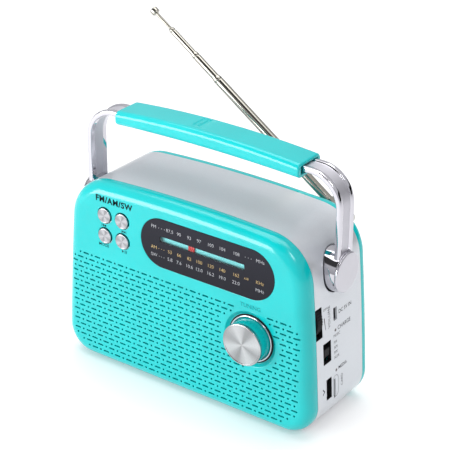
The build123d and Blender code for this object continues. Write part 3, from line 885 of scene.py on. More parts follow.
# ---- lettering ----------------------------------------------------------------------------
@dataclass(frozen=True)
class Word:
    """A printed word, number or sign."""

    text: str
    across: float
    up: float
    height: float
    turned: bool = False
    align: str = "CENTER"
    weight: float = 0.0
    spacing: float = 1.0

    def cells(self) -> tuple[list[Point2], list[list[int]]]:
        """Flat faces of the word in its own plane, in millimetres."""
        curve = bpy.data.curves.new("lettering", "FONT")
        curve.body, curve.size, curve.align_x, curve.align_y = self.text, 1.0, self.align, "CENTER"
        curve.resolution_u, curve.offset = 3, self.weight
        curve.space_character = self.spacing
        holder = bpy.data.objects.new("lettering", curve)
        mesh = bpy.data.meshes.new_from_object(holder)
        size = self.height / 0.70
        points = [(v.co.x * size, v.co.y * size) for v in mesh.vertices]
        faces = [list(p.vertices) for p in mesh.polygons]
        bpy.data.objects.remove(holder)
        bpy.data.curves.remove(curve)
        bpy.data.meshes.remove(mesh)
        if self.turned:
            points = [(-y, x) for x, y in points]
        return [(x + self.across, y + self.up) for x, y in points], faces


def print_words(name: str, words: Sequence[Word], place: Callable[[float, float], Point2 | tuple],
                marks: Sequence[Sequence[Point2]] = ()) -> bpy.types.Object:
    """Print words and plain marks on a surface as one thin piece.

    Args:
        name: the object's name.
        words: the words.
        place: turns a word's (across, up) into a point on the surface.
        marks: outlines of plain shapes, in the same plane.

    Returns:
        The object.
    """
    points: list[Sequence[float]] = []
    faces: list[list[int]] = []
    for cells, cell_faces in [w.cells() for w in words] + [
            (list(m), [list(range(len(m)))]) for m in marks]:
        start = len(points)
        points += [place(*p) for p in cells]
        faces += [[start + i for i in face] for face in cell_faces]
    return make_object(name, points, faces)


# ---- case ---------------------------------------------------------------------------------
@dataclass(frozen=True)
class CaseOutline:
    """Front view of the case: crowned top, bulged sides that spread downwards, round corners."""

    height: float = 116.5
    foot: float = 1.0
    base_half: float = 85.6
    mid_half: float = 82.0
    shoulder_half: float = 77.0
    shoulder_z: float = 113.2
    top_radius: float = 26.5
    base_radius: float = 17.0

    @cache
    def circles(self) -> tuple[tuple[Vector, float], tuple[Vector, float]]:
        """Centre and radius of the crown's arc and of the right side's arc."""
        rise = self.height - self.shoulder_z
        crown = (self.shoulder_half ** 2 + rise ** 2) / (2 * rise)
        a = Vector((self.shoulder_half, self.shoulder_z))
        b = Vector((self.mid_half, (self.height + self.foot) / 2))
        c = Vector((self.base_half, self.foot))
        d = 2 * (a.x * (b.y - c.y) + b.x * (c.y - a.y) + c.x * (a.y - b.y))
        aa, bb, cc = a.length_squared, b.length_squared, c.length_squared
        centre = Vector(((aa * (b.y - c.y) + bb * (c.y - a.y) + cc * (a.y - b.y)) / d,
                         (aa * (c.x - b.x) + bb * (a.x - c.x) + cc * (b.x - a.x)) / d))
        return (Vector((0, self.height - crown)), crown), (centre, (a - centre).length)

    def side_x(self, z: float) -> float:
        """Half width of the straight part of the side at a height."""
        centre, radius = self.circles()[1]
        return centre.x + math.sqrt(radius ** 2 - (z - centre.y) ** 2)

    @cache
    def stations(self) -> tuple[tuple[Vector, Vector], ...]:
        """Points round the whole outline with their outward directions."""
        (top, crown), (side, bulge) = self.circles()
        reach = (crown - self.top_radius, bulge - self.top_radius)
        gap = side - top
        along = (reach[0] ** 2 - reach[1] ** 2 + gap.length_squared) / (2 * gap.length)
        offset = math.sqrt(reach[0] ** 2 - along ** 2)
        unit = gap.normalized()
        options = [top + unit * along + Vector((-unit.y, unit.x)) * (s * offset) for s in (1, -1)]
        shoulder = max(options, key=lambda p: p.x)
        foot_z = self.foot + self.base_radius
        foot_x = side.x + math.sqrt((bulge - self.base_radius) ** 2 - (foot_z - side.y) ** 2)
        foot = Vector((foot_x, foot_z))

        def bearing(centre: Vector, point: Vector) -> float:
            """Angle of a point about a centre."""
            return math.atan2(point.y - centre.y, point.x - centre.x)

        first, second = bearing(top, shoulder), bearing(side, shoulder)
        third = bearing(side, foot)
        arcs = ((top, crown, math.pi / 2, first, 24),
                (shoulder, self.top_radius, first, second, 28), (side, bulge, second, third, 16),
                (foot, self.base_radius, third, -math.pi / 2, 20))
        half: list[tuple[Vector, Vector]] = []
        for centre, radius, start, end, steps in arcs:
            for i in range(steps):
                angle = start + (end - start) * i / steps
                out = Vector((math.cos(angle), math.sin(angle)))
                half.append((centre + out * radius, out))
        for i in range(9):
            half.append((Vector((foot.x * (1 - i / 8), self.foot)), Vector((0, -1))))
        left = [(Vector((-p.x, p.y)), Vector((-n.x, n.y))) for p, n in half[1:-1]]
        return tuple(half + left[::-1])

    def ring(self, y: float, inset: float) -> list[tuple[float, float, float]]:
        """The outline at a depth, moved inwards."""
        return [(p.x - n.x * inset, y, p.y - n.y * inset) for p, n in self.stations()]


OUTLINE = CaseOutline()


@dataclass(frozen=True)
class Grille:
    """Rows of round and long perforations that alternate along the row and from row to row."""

    pitch_x: float = 4.2
    first_x: float = -21.0
    pitch_z: float = 3.165
    top_z: float = 68.57
    rows: int = 20
    dot: float = 1.26
    dash: float = 4.1
    dash_height: float = 0.95
    half_top: float = 72.0
    half_middle: float = 76.2
    half_low: float = 68.0
    knob_clear: float = 18.2
    word_gap: Point2 = (37.5, 55.0)

    def wanted(self, x: float, z: float, row: int) -> bool:
        """Whether a perforation belongs at this place."""
        half = self.half_middle
        if row in (0, self.rows - 2):
            half = self.half_top
        elif row == self.rows - 1:
            half = self.half_low
        if abs(x) > half or (row == 0 and self.word_gap[0] < x < self.word_gap[1]):
            return False
        return math.hypot(x - KNOB_PLACE[0], z - KNOB_PLACE[1]) > self.knob_clear

    def cutter(self, front: float, back: float) -> bpy.types.Object:
        """All perforations as one solid to take out of the shell.

        Args:
            front: y where the cutter starts.
            back: y where it ends.

        Returns:
            The cutter.
        """
        points: list[Sequence[float]] = []
        faces: list[list[int]] = []
        for row in range(self.rows):
            z = self.top_z - self.pitch_z * row
            for column in range(-13, 24):
                x = self.first_x + self.pitch_x * column
                if not self.wanted(x, z, row):
                    continue
                if (column + row) % 2 == 0:
                    outline = disc(x, z, self.dot / 2, 12)
                else:
                    outline = stadium(x, z, self.dash, self.dash_height, 5)
                cells, cell_faces = loft([[(p[0], y, p[1]) for p in outline]
                                          for y in (front, back)])
                start = len(points)
                points += cells
                faces += [[start + i for i in face] for face in cell_faces]
        return make_object("grille_cutter", points, faces)


@dataclass(frozen=True)
class FrontShell:
    """Face of the radio: rounded shell with its grille, dial recess, knob dish and key holes."""

    face: float = -31.0
    parting: float = -21.7
    wall: float = 2.2
    edge: float = 7.4
    dish_radius: float = 16.4
    dish_floor: float = 14.7
    dish_depth: float = 1.6
    dial: tuple[float, float, float, float] = (17.1, 91.2, 88.0, 29.4)
    dial_ledge: float = 1.0
    key_hole: float = 5.0

    def body(self) -> bpy.types.Object:
        """The closed shell before anything is cut from it."""
        inner = self.face + self.wall
        stations = [(self.face, self.edge + 0.6), (self.face, self.edge)]
        for i in range(1, 15):
            angle = math.pi / 2 * i / 14
            stations.append((self.face + self.edge * (1 - math.cos(angle)),
                             self.edge * (1 - math.sin(angle))))
        stations += [(self.parting - 0.22, 0.0), (self.parting, 0.22), (self.parting, self.wall)]
        radius = self.edge - self.wall
        for i in range(0, 7):
            angle = math.pi / 2 * (1 - i / 6)
            stations.append((inner + radius * (1 - math.cos(angle)),
                             self.wall + radius * (1 - math.sin(angle))))
        rings = [OUTLINE.ring(y, inset) for y, inset in stations]
        return make_object("front_shell_body", *loft(rings))

    def build(self) -> bpy.types.Object:
        """Make the shell and cut its openings."""
        shell = self.body()
        deep = self.face + self.wall + 1.0
        x, z, width, height = self.dial
        recess = prism_y("dial_cutter", stadium(x, z, width, height),
                         lip(self.face, self.dial_ledge, 0.45))
        through = prism_y("dial_hole", stadium(x, z, width - 3.0, height - 3.0),
                          [(self.face - 1, 0.0), (deep, 0.0)])
        keys = [prism_y("key_hole", disc(kx, kz, self.key_hole), lip(self.face, 3.2, 0.3))
                for kx, kz in KEY_PLACES]
        dish = self.dish()
        return even_normals(cut(shell, recess, through, *keys, dish,
                                Grille().cutter(self.face - 1, deep)))

    def dish(self) -> bpy.types.Object:
        """Cutter of the stepped dish round the knob."""
        profile = rounded([
            (0.0001, -2.0, 0), (self.dish_radius + 1.1, -2.0, 0), (self.dish_radius + 1.1, 0.0, 0),
            (self.dish_radius, 0.02, 0.9), (self.dish_floor, self.dish_depth, 0.5),
            (0.0001, self.dish_depth, 0)], 6)
        axis = Axis((KNOB_PLACE[0], self.face, KNOB_PLACE[1]), (0, 1, 0))
        return axis.turn("dish_cutter", profile)

    def prints(self) -> None:
        """Words and signs printed on the face."""
        def place(across: float, up: float) -> tuple[float, float, float]:
            """A point just in front of the face."""
            return across, self.face - 0.02, up

        triangle = ((-0.55, -1.0), (0.75, 0.0), (-0.55, 1.0))

        def arrow(x: float, z: float, way: int) -> list[Point2]:
            """A filled triangle that points left or right."""
            return [(x + way * px, z + pz * 0.95) for px, pz in triangle][::way]

        def bar(x: float, z: float, width: float, height: float) -> list[Point2]:
            """A filled upright bar."""
            w, h = width / 2, height / 2
            return [(x - w, z - h), (x + w, z - h), (x + w, z + h), (x - w, z + h)]

        left, right, top, low = -53.2, -39.0, 90.4, 78.1
        marks = [bar(left - 1.5, top, 0.35, 1.9), arrow(left - 0.4, top, -1),
                 arrow(left + 1.0, top, -1), arrow(right - 1.0, top, 1), arrow(right + 0.4, top, 1),
                 bar(right + 1.5, top, 0.35, 1.9), arrow(right - 1.1, low, 1),
                 bar(right + 0.5, low, 0.4, 1.9), bar(right + 1.4, low, 0.4, 1.9)]
        words = [Word("MODE", left - 0.4, low, 1.8, weight=0.01),
                 Word("FM/AM/SW", -45.7, 106.2, 3.5, weight=0.035, spacing=1.12)]
        dress(print_words("print_face", words, place, marks), Slot.INK_DARK, "case")
        dress(print_words("print_tuning", [Word("TUNING", 46.3, 71.7, 2.4, weight=0.008)], place),
              Slot.INK_TEAL, "case")


@dataclass(frozen=True)
class Dial:
    """Scales printed on the smoked panel."""

    front: float = -31.0
    columns: tuple[float, ...] = (-7.0, -0.8, 6.1, 12.6, 20.2, 27.8, 36.8)
    label_x: float = -17.9
    unit_x: float = 52.0
    fm_z: float = 100.2
    am_z: float = 87.7
    sw_z: float = 83.1
    letter: float = 2.0

    def row(self, z: float, label: str, numbers: Sequence[str], unit: str) -> list[Word]:
        """One scale: its name, its numbers and its unit."""
        entries = zip([label, unit, *numbers], [self.label_x, self.unit_x, *self.columns])
        return [Word(text, x, z, self.letter, weight=-0.012) for text, x in entries]

    def dots(self, z: float, start: float, end: float) -> list[list[Point2]]:
        """A short row of dots."""
        count = 3
        return [disc(start + (end - start) * i / (count - 1), z, 0.2, 10) for i in range(count)]

    def build(self) -> None:
        """Print the scales."""
        def place(across: float, up: float) -> tuple[float, float, float]:
            """A point just in front of the panel."""
            return across, self.front - 0.02, up

        white = self.row(self.fm_z, "FM", ("87.5", "90", "93", "97", "100", "104", "108"), "MHz")
        white += self.row(self.sw_z, "SW", ("5.8", "7.6", "10.6", "13.0", "16.2", "19.0", "22.0"),
                          "MHz")
        marks = self.dots(self.fm_z, -14.4, -10.6) + self.dots(self.fm_z, 42.6, 46.4)
        marks += self.dots(self.sw_z, -14.4, -11.0)
        cream = self.row(self.am_z, "AM", ("53", "66", "82", "100", "120", "140", "162"), "KHz")
        cream.append(Word("x10", 43.4, self.am_z, 1.3))
        dress(print_words("print_scale_white", white, place, marks), Slot.INK_WHITE, "case")
        dress(print_words("print_scale_cream", cream, place,
                          self.dots(self.am_z, -14.4, -11.0)), Slot.INK_CREAM, "case")


@dataclass(frozen=True)
class SidePrints:
    """Words and signs on the right side, with painted shade on the walls of its openings and round
    the card slot.
    """

    proud: float = 0.02
    shade_sleeve_sink: float = 0.12
    shade_sleeve_wall: float = 0.12
    shade_sleeve_depth: float = 2.1
    line: float = 0.22
    openings: tuple[tuple[float, float, float, float], ...] = (
        (-18.65, 67.4, 6.1, 18.0), (-11.6, 47.3, 7.6, 12.6), (-10.5, 25.0, 5.2, 12.6))
    card: tuple[float, float, float, float] = (-3.8, 23.6, 5.2, 13.2)

    def build(self) -> None:
        """Print the side."""
        def place(across: float, up: float) -> tuple[float, float, float]:
            """A point just outside the side's wall."""
            return OUTLINE.side_x(up) + self.proud, across, up

        words = [
            Word("VOLUME", -8.8, 67.4, 2.2, turned=True, spacing=1.1),
            Word("OFF", -14.2, 73.2, 1.4, align="LEFT"),
            Word("DC 5V IN", 0.4, 66.3, 2.2, align="LEFT", weight=0.005),
            Word("CHARGE", -0.9, 57.2, 2.3, align="LEFT", weight=0.005),
            Word("MEDIA", -1.0, 33.2, 2.0, align="LEFT", weight=0.005),
            Word("MUSIC", -5.2, 53.9, 1.6, align="LEFT"),
            Word("FM", -5.0, 50.0, 1.7, align="LEFT"), Word("AM", -5.0, 47.0, 1.7, align="LEFT"),
            Word("SW", -5.0, 44.0, 1.7, align="LEFT"), Word("AUX", -5.0, 41.0, 1.7, align="LEFT"),
            Word("CARD", 2.4, 24.6, 1.9, turned=True)]
        marks = [
            [(-12.7, 61.3), (-12.4, 61.3), (-13.2, 68.6), (-13.9, 68.6)],
            [(-16.6, 27.4), (-14.6, 25.2), (-14.9, 24.6), (-16.9, 26.8)],
            [(-16.9, 24.0), (-14.9, 25.6), (-14.6, 25.0), (-16.6, 23.4)]]
        dress(print_words("print_side", words, place, marks), Slot.INK_GREY, "case")
        # painted shade: dark sleeves on the walls of the side openings
        dress(joined("side_openings_painted_shade", [self.shade_sleeve(*opening) for opening in self.openings]),
              Slot.BLACK, "case")
        # painted shade: a thin dark ring for the shaded groove round the card slot
        dress(self.recess(), Slot.INK_GREY, "case")

    def shade_sleeve(self, y: float, z: float, width: float, height: float) -> bpy.types.Object:
        """Thin dark sleeve against the walls of an opening, sunk just under the surface: painted
        shade on the walls.
        """
        rings = []
        near, wall, deep = self.shade_sleeve_sink, self.shade_sleeve_wall, self.shade_sleeve_depth
        for inset, sink in ((0.0, near), (wall, near), (wall, deep), (0.0, deep)):
            w, h = width / 2 - inset, height / 2 - inset
            rings.append([(OUTLINE.side_x(z + dz) - sink, y + dy, z + dz)
                          for dy, dz in ((-w, -h), (w, -h), (w, h), (-w, h))])
        return make_object("shade_sleeve", *loft(rings, closed=True))

    def recess(self) -> bpy.types.Object:
        """Thin dark ring round the card slot: painted shade for its moulded groove."""
        points: list[tuple[float, float, float]] = []
        faces: list[list[int]] = []
        middle_y, middle_z, width, height = self.card
        for inset in (0.0, self.line):
            for z, y in stadium(middle_z, middle_y, height - 2 * inset, width - 2 * inset, 8):
                points.append((OUTLINE.side_x(z) + self.proud, y, z))
        count = len(points) // 2
        for i in range(count):
            j = (i + 1) % count
            faces.append([i, j, count + j, count + i])
        return make_object("card_groove_painted_shade", points, faces)


# ---- knob and keys ------------------------------------------------------------------------
def spun_face(radius: float, level: float, pitch: float, relief: float,
              start: float = 0.25) -> list[Point2]:
    """Profile of a turned face: fine ridges from near the centre out to a radius.

    Args:
        radius: where the ridges end.
        level: distance of the face along the axis.
        pitch: width of one ridge.
        relief: its height.
        start: where they start.

    Returns:
        (radius, distance) pairs from the centre outwards.
    """
    profile = [(0.0001, level)]
    count = int((radius - start) / pitch * 4)
    for i in range(count + 1):
        r = start + (radius - start) * i / count
        profile.append((r, level + relief * math.sin(2 * math.pi * (r - start) / pitch)))
    return profile


@dataclass(frozen=True)
class TuningKnob:
    """Turned cap with a bright rim on a turquoise skirt, in a chromed ring."""

    face: float = -31.0
    proud: float = 7.6
    cap_radius: float = 12.2
    cap_depth: float = 1.7
    skirt_radius: float = 12.0
    skirt_back: float = -1.3
    bezel_inner: float = 12.5
    bezel_outer: float = 13.6
    gap_shade_width: float = 0.75
    ridge_pitch: float = 0.5
    ridge_height: float = 0.008
    dimples: int = 36
    dimple_radius: float = 0.33
    dimple_back: float = 2.6

    def axis(self) -> Axis:
        """The knob's axis, pointing out of the face."""
        return Axis((KNOB_PLACE[0], self.face, KNOB_PLACE[1]), (0, -1, 0))

    def cap(self) -> bpy.types.Object:
        """Spun metal cap."""
        top, r = self.proud, self.cap_radius
        rim = rounded([(r - 1.05, top - 0.22, 0), (r - 0.85, top, 0.15),
                       (r - 0.05, top - 0.05, 0.5), (r, top - self.cap_depth, 0.2),
                       (0.0001, top - self.cap_depth, 0)], 5)
        face = spun_face(r - 1.2, top - 0.22, self.ridge_pitch, self.ridge_height)
        return self.axis().turn("knob_cap_spun", face + rim, 128)

    def skirt(self) -> bpy.types.Object:
        """Turquoise skirt with a row of dimples."""
        r, top = self.skirt_radius, self.proud - self.cap_depth
        profile = rounded([(0.0001, top, 0), (r - 0.5, top, 0), (r - 0.5, top - 0.35, 0.05),
                           (r, top - 0.5, 0.12), (r, 0.6, 0.3), (r + 0.25, self.skirt_back, 0.1),
                           (0.0001, self.skirt_back, 0)], 4)
        skirt = self.axis().turn("knob_skirt_moulded", profile, 144)
        points: list[Sequence[float]] = []
        faces: list[list[int]] = []
        for i in range(self.dimples):
            angle = 2 * math.pi * i / self.dimples
            out = Vector((math.cos(angle), 0, math.sin(angle)))
            side = Vector((-out.z, 0, out.x))
            middle = Vector((KNOB_PLACE[0], self.face - self.dimple_back, KNOB_PLACE[1])) + out * r
            rings = [[middle + out * depth + side * across + Vector((0, along, 0))
                      for across, along in disc(0, 0, self.dimple_radius, 8)]
                     for depth in (-0.35, 0.8)]
            cells, cell_faces = loft(rings)
            start = len(points)
            points += cells
            faces += [[start + n for n in face] for face in cell_faces]
        return even_normals(cut(skirt, make_object("dimples", points, faces)))

    def bezel(self) -> bpy.types.Object:
        """Chromed ring on the floor of the dish."""
        low, mid, high = -1.6, (self.bezel_inner + self.bezel_outer) / 2, -0.55
        profile = [(self.bezel_inner, low)]
        for i in range(9):
            angle = math.pi * (1 - i / 8)
            profile.append((mid + (self.bezel_outer - self.bezel_inner) / 2 * math.cos(angle),
                            high - 0.45 + 0.45 * math.sin(angle)))
        return self.axis().turn("knob_ring", profile + [(self.bezel_outer, low),
                                                        (self.bezel_inner, low)], 128)

    def gap_shade_ring(self) -> bpy.types.Object:
        """Black ring that fills the step outside the chromed ring: painted shade for the dark gap
        there.
        """
        start, stop = self.bezel_outer + 0.03, self.bezel_outer + self.gap_shade_width
        low, high = -1.6, -1.35
        return self.axis().turn("knob_gap_painted_shade", [(start, low), (start, high), (stop, high),
                                                (stop, low), (start, low)], 128)

    def build(self) -> None:
        """Make and dress the knob."""
        dress(self.cap(), Slot.SPUN, "tuning", "knob_cap")
        dress(self.skirt(), Slot.TURQUOISE, "tuning", "knob_skirt")
        dress(self.bezel(), Slot.CHROME, "case", "knob_bezel")
        # painted shade: a black ring in the gap outside the chromed ring
        dress(self.gap_shade_ring(), Slot.BLACK, "case")


@dataclass(frozen=True)
class Keypad:
    """Four round keys with turned metal caps."""

    face: float = -31.0
    proud: float = 0.9
    radius: float = 4.45
    ridge_pitch: float = 0.42
    ridge_height: float = 0.008
    names: tuple[str, ...] = ("previous", "next", "mode", "play")

    def build(self) -> None:
        """Make and dress the keys."""
        top, r = self.proud, self.radius
        rim = rounded([(r - 0.62, top - 0.1, 0), (r - 0.5, top, 0.08), (r, top - 0.1, 0.3),
                       (r, -1.2, 0), (2.4, -1.2, 0), (2.4, -2.6, 0), (5.6, -2.6, 0),
                       (5.6, -3.4, 0), (0.0001, -3.4, 0)], 4)
        profile = spun_face(r - 0.7, top - 0.12, self.ridge_pitch, self.ridge_height) + rim
        for name, (x, z) in zip(self.names, KEY_PLACES):
            key = Axis((x, self.face, z), (0, -1, 0)).turn(f"key_{name}_spun", profile, 72)
            dress(key, Slot.SPUN_KEYS, f"key_{name}", f"button_{name}")


# ---- handle -------------------------------------------------------------------------------
def joined(name: str, pieces: Sequence[bpy.types.Object]) -> bpy.types.Object:
    """Make one object from several, and delete them.

    Args:
        name: the new object's name.
        pieces: the objects to join.

    Returns:
        The new object.
    """
    work = bmesh.new()
    for piece in pieces:
        work.from_mesh(piece.data)
    mesh = bpy.data.meshes.new(name)
    work.to_mesh(mesh)
    work.free()
    for piece in pieces:
        bpy.data.objects.remove(piece)
    result = bpy.data.objects.new(name, mesh)
    bpy.context.scene.collection.objects.link(result)
    return result


@dataclass(frozen=True)
class Handle:
    """Chromed strap with raised edge rails, arched grip and two hubs with end caps."""

    hub_z: float = 91.7
    arm_out: float = 84.5
    strap_top: float = 147.8
    bend: float = 19.5
    thick: float = 3.0
    rail_lift: float = 0.8
    half: float = 7.0
    rail: float = 3.3
    grip_half: float = 60.5
    grip_half_width: float = 10.7
    grip_top: float = 149.7
    grip_arch: float = 2.7
    grip_base: float = 141.4
    grip_base_arch: float = 1.6
    grip_round: float = 3.3
    hub_floor: float = 74.3
    hub_end: float = 84.9
    hub_base_radius: float = 12.2
    hub_end_radius: float = 11.3
    cap_thick: float = 1.6
    groove_x: float = -9.0
    groove_y: float = 1.0
    groove_apart: float = 3.6
    groove_radius: float = 1.6
    groove_half: float = 5.5
    groove_depth: float = 0.6
    mouth_room: float = 1.2
    mouth_length: float = 7.0

    def strap(self) -> bpy.types.Object:
        """Strap swept along its arch."""
        h, inner = self.half, self.half - self.rail
        right = rounded([(0, self.rail_lift, 0), (inner, self.rail_lift, 0.35),
                         (inner + 0.5, 0.1, 0.5), (inner + 1.6, -0.1, 1.2), (h, 0.1, 1.2),
            (h, self.thick, 0.6),
                         (0, self.thick, 0)], 5)
        section = right + [(-y, d) for y, d in right[-2:0:-1]]
        path: list[tuple[Vector, Vector]] = []
        low, centre_z = self.hub_z + 7.5, self.strap_top - self.bend
        for i in range(9):
            path.append((Vector((self.arm_out, low + (centre_z - low) * i / 9)), Vector((1, 0))))
        for i in range(25):
            angle = math.pi / 2 * i / 24
            out = Vector((math.cos(angle), math.sin(angle)))
            path.append((Vector((self.arm_out - self.bend, centre_z)) + out * self.bend, out))
        path.append((Vector((0, self.strap_top)), Vector((0, 1))))
        path += [(Vector((-p.x, p.y)), Vector((-n.x, n.y))) for p, n in path[-2::-1]]
        rings = [[(p.x - n.x * d, y, p.y - n.y * d) for y, d in section] for p, n in path]
        return make_object("strap_plated", *loft(rings), sharp=40)

    def section(self, x: float, shrink: float) -> list[tuple[float, float, float]]:
        """Outline of the grip at a place along it."""
        swell = 1 - (x / self.grip_half) ** 2
        top = self.grip_top + self.grip_arch * swell - shrink
        low = self.grip_base + self.grip_base_arch * swell + shrink
        half, radius = self.grip_half_width - shrink, self.grip_round - shrink * 0.5
        ring = []
        side, high, base = half - radius, top - radius, low + radius
        for cy, cz, start in ((side, high, 0), (-side, high, 90), (-side, base, 180),
                              (side, base, 270)):
            for i in range(9):
                angle = math.radians(start + 90 * i / 8)
                ring.append((x, cy + radius * math.cos(angle), cz + radius * math.sin(angle)))
        return ring

    def grip(self) -> bpy.types.Object:
        """Arched grip with its strap mouths and two thumb grooves."""
        ends = [(self.grip_half, 0.9), (self.grip_half - 0.12, 0.45), (self.grip_half - 0.45, 0.12),
                (self.grip_half - 0.9, 0.0)]
        inner = [self.grip_half * (0.97 - 1.94 * i / 40) for i in range(41)]
        stations = [(-x, s) for x, s in ends] + [(-x, 0.0) for x in inner] + ends[::-1]
        grip = make_object("grip_body", *loft([self.section(x, s) for x, s in stations]))
        channel = self.strap_top - self.thick
        cutters = []
        for side in (-1, 1):
            start, stop = side * (self.grip_half - self.mouth_length), side * 66.0
            wide, low, high = self.half + self.mouth_room, channel - 1.6, self.strap_top + 0.3
            shape = [(-wide, low), (wide, low), (wide, high), (-wide, high)]
            rings = [[(x, y, z) for y, z in shape] for x in (start, stop)]
            cutters.append(make_object("mouth", *loft(rings)))
            top = self.grip_top + self.grip_arch
            r, reach = self.groove_radius, self.groove_half
            groove = Axis((self.groove_x + side * self.groove_apart / 2, self.groove_y,
                           top + r - self.groove_depth), (0, 1, 0))
            cutters.append(groove.turn("groove", rounded([
                (0.0001, -reach, 0), (r, -reach, r / 2), (r, reach, r / 2), (0.0001, reach, 0)],
                5), 40))
        return even_normals(cut(grip, *cutters), 40)

    def hub(self, side: int) -> bpy.types.Object:
        """Flared barrel."""
        profile = rounded([
            (3.0, self.hub_floor, 0), (self.hub_base_radius, self.hub_floor, 0.3),
            (self.hub_end_radius, self.hub_end, 0.35), (self.hub_end_radius - 0.5, self.hub_end, 0),
            (3.0, self.hub_end, 0), (3.0, self.hub_floor, 0)], 4)
        return Axis((0, 0, self.hub_z), (side, 0, 0)).turn("hub", profile, 128)

    def cap(self, side: int) -> bpy.types.Object:
        """End cap with a slightly domed face and a bright bevel."""
        start, r = self.hub_end + 0.12, self.hub_end_radius
        end = self.hub_end + self.cap_thick
        profile = rounded([(0.0001, end, 0), (r - 1.4, end - 0.03, 0.6), (r - 0.5, end - 0.22, 0.3),
                           (r, end - 0.75, 0.3), (r, start, 0.1), (0.0001, start, 0)], 5)
        return Axis((0, 0, self.hub_z), (side, 0, 0)).turn("cap", profile, 128)

    def build(self) -> None:
        """Make and dress the handle."""
        dress(self.strap(), Slot.STRAP, "handle", "handle_strap")
        dress(self.grip(), Slot.GRIP, "handle", "handle_grip")
        dress(joined("hub_barrels", [self.hub(-1), self.hub(1)]), Slot.CHROME, "handle",
              "handle_hubs")
        dress(joined("hub_end_caps", [self.cap(-1), self.cap(1)]), Slot.CHROME, "handle",
              "hub_caps")


# ---- aerial -------------------------------------------------------------------------------
@dataclass(frozen=True)
class Tube:
    """One sliding tube: its radii, where it starts and ends along the aerial, and its body."""

    name: str
    body: str
    outer: float
    inner: float
    start: float
    end: float
    next_radius: float

    def profile(self) -> list[Point2]:
        """Tube with a rolled crimp at its far end."""
        o, e = self.outer, self.end
        outside = rounded([(o, self.start, 0), (o, e - 3.0, 0.3), (o - 0.18, e - 2.7, 0.2),
                           (o - 0.18, e - 2.3, 0.2), (o, e - 2.0, 0.3),
                           (o, e - 1.2, 0.5), (self.next_radius + 0.12, e, 0.1)], 4)
        inside = [(self.next_radius + 0.06, e), (self.next_radius + 0.06, e - 1.2),
                  (self.inner, e - 1.6), (self.inner, self.start), (o, self.start)]
        return outside + inside


@dataclass(frozen=True)
class Aerial:
    """Telescopic aerial: three tubes and a rod with a round tip."""

    pivot: tuple[float, float, float] = (62.0, 35.5, 102.7)
    angle: float = 35.1
    tubes: tuple[Tube, ...] = (
        Tube("aerial_tube_outer", "aerial_outer", 2.6, 2.25, 14.0, 106.3, 2.15),
        Tube("aerial_tube_middle", "aerial_middle", 2.15, 1.8, 35.1, 125.1, 1.7),
        Tube("aerial_tube_inner", "aerial_inner", 1.7, 1.0, 57.1, 145.1, 0.9))
    rod: float = 0.9
    rod_start: float = 77.0
    rod_end: float = 157.0
    tip: float = 2.3
    tip_length: float = 3.4

    def build(self) -> None:
        """Make and dress the sections."""
        a = math.radians(self.angle)
        axis = Axis(self.pivot, (-math.cos(a), 0, math.sin(a)))
        for tube in self.tubes:
            piece = axis.turn(f"{tube.name}_drawn", tube.profile(), 48)
            dress(piece, Slot.NICKEL, tube.body, tube.name)
        end = self.rod_end + self.tip_length
        profile = rounded([(0.0001, self.rod_start, 0), (self.rod, self.rod_start, 0),
                           (self.rod, self.rod_end - 0.2, 0.05), (1.4, self.rod_end, 0),
                           (self.tip, self.rod_end, 0.5), (self.tip, end, 0.9),
                           (0.0001, end, 0)], 6)
        dress(axis.turn("aerial_tip_turned", profile, 48), Slot.NICKEL, "aerial_rod", "aerial_tip")


# ---- studio -------------------------------------------------------------------------------
@dataclass(frozen=True)
class Lamp:
    """A soft rectangular light."""

    name: str
    place: tuple[float, float, float]
    target: tuple[float, float, float]
    size: Point2
    power: float
    colour: Rgb = (1.0, 1.0, 1.0)

    def build(self) -> None:
        """Hang the light."""
        data = bpy.data.lights.new(self.name, "AREA")
        data.shape, data.size, data.size_y = "RECTANGLE", *self.size
        data.energy, data.color = self.power, self.colour
        lamp = bpy.data.objects.new(self.name, data)
        bpy.context.scene.collection.objects.link(lamp)
        lamp.location = self.place
        aim = Vector(self.target) - Vector(self.place)
        lamp.rotation_euler = aim.to_track_quat("-Z", "Y").to_euler()


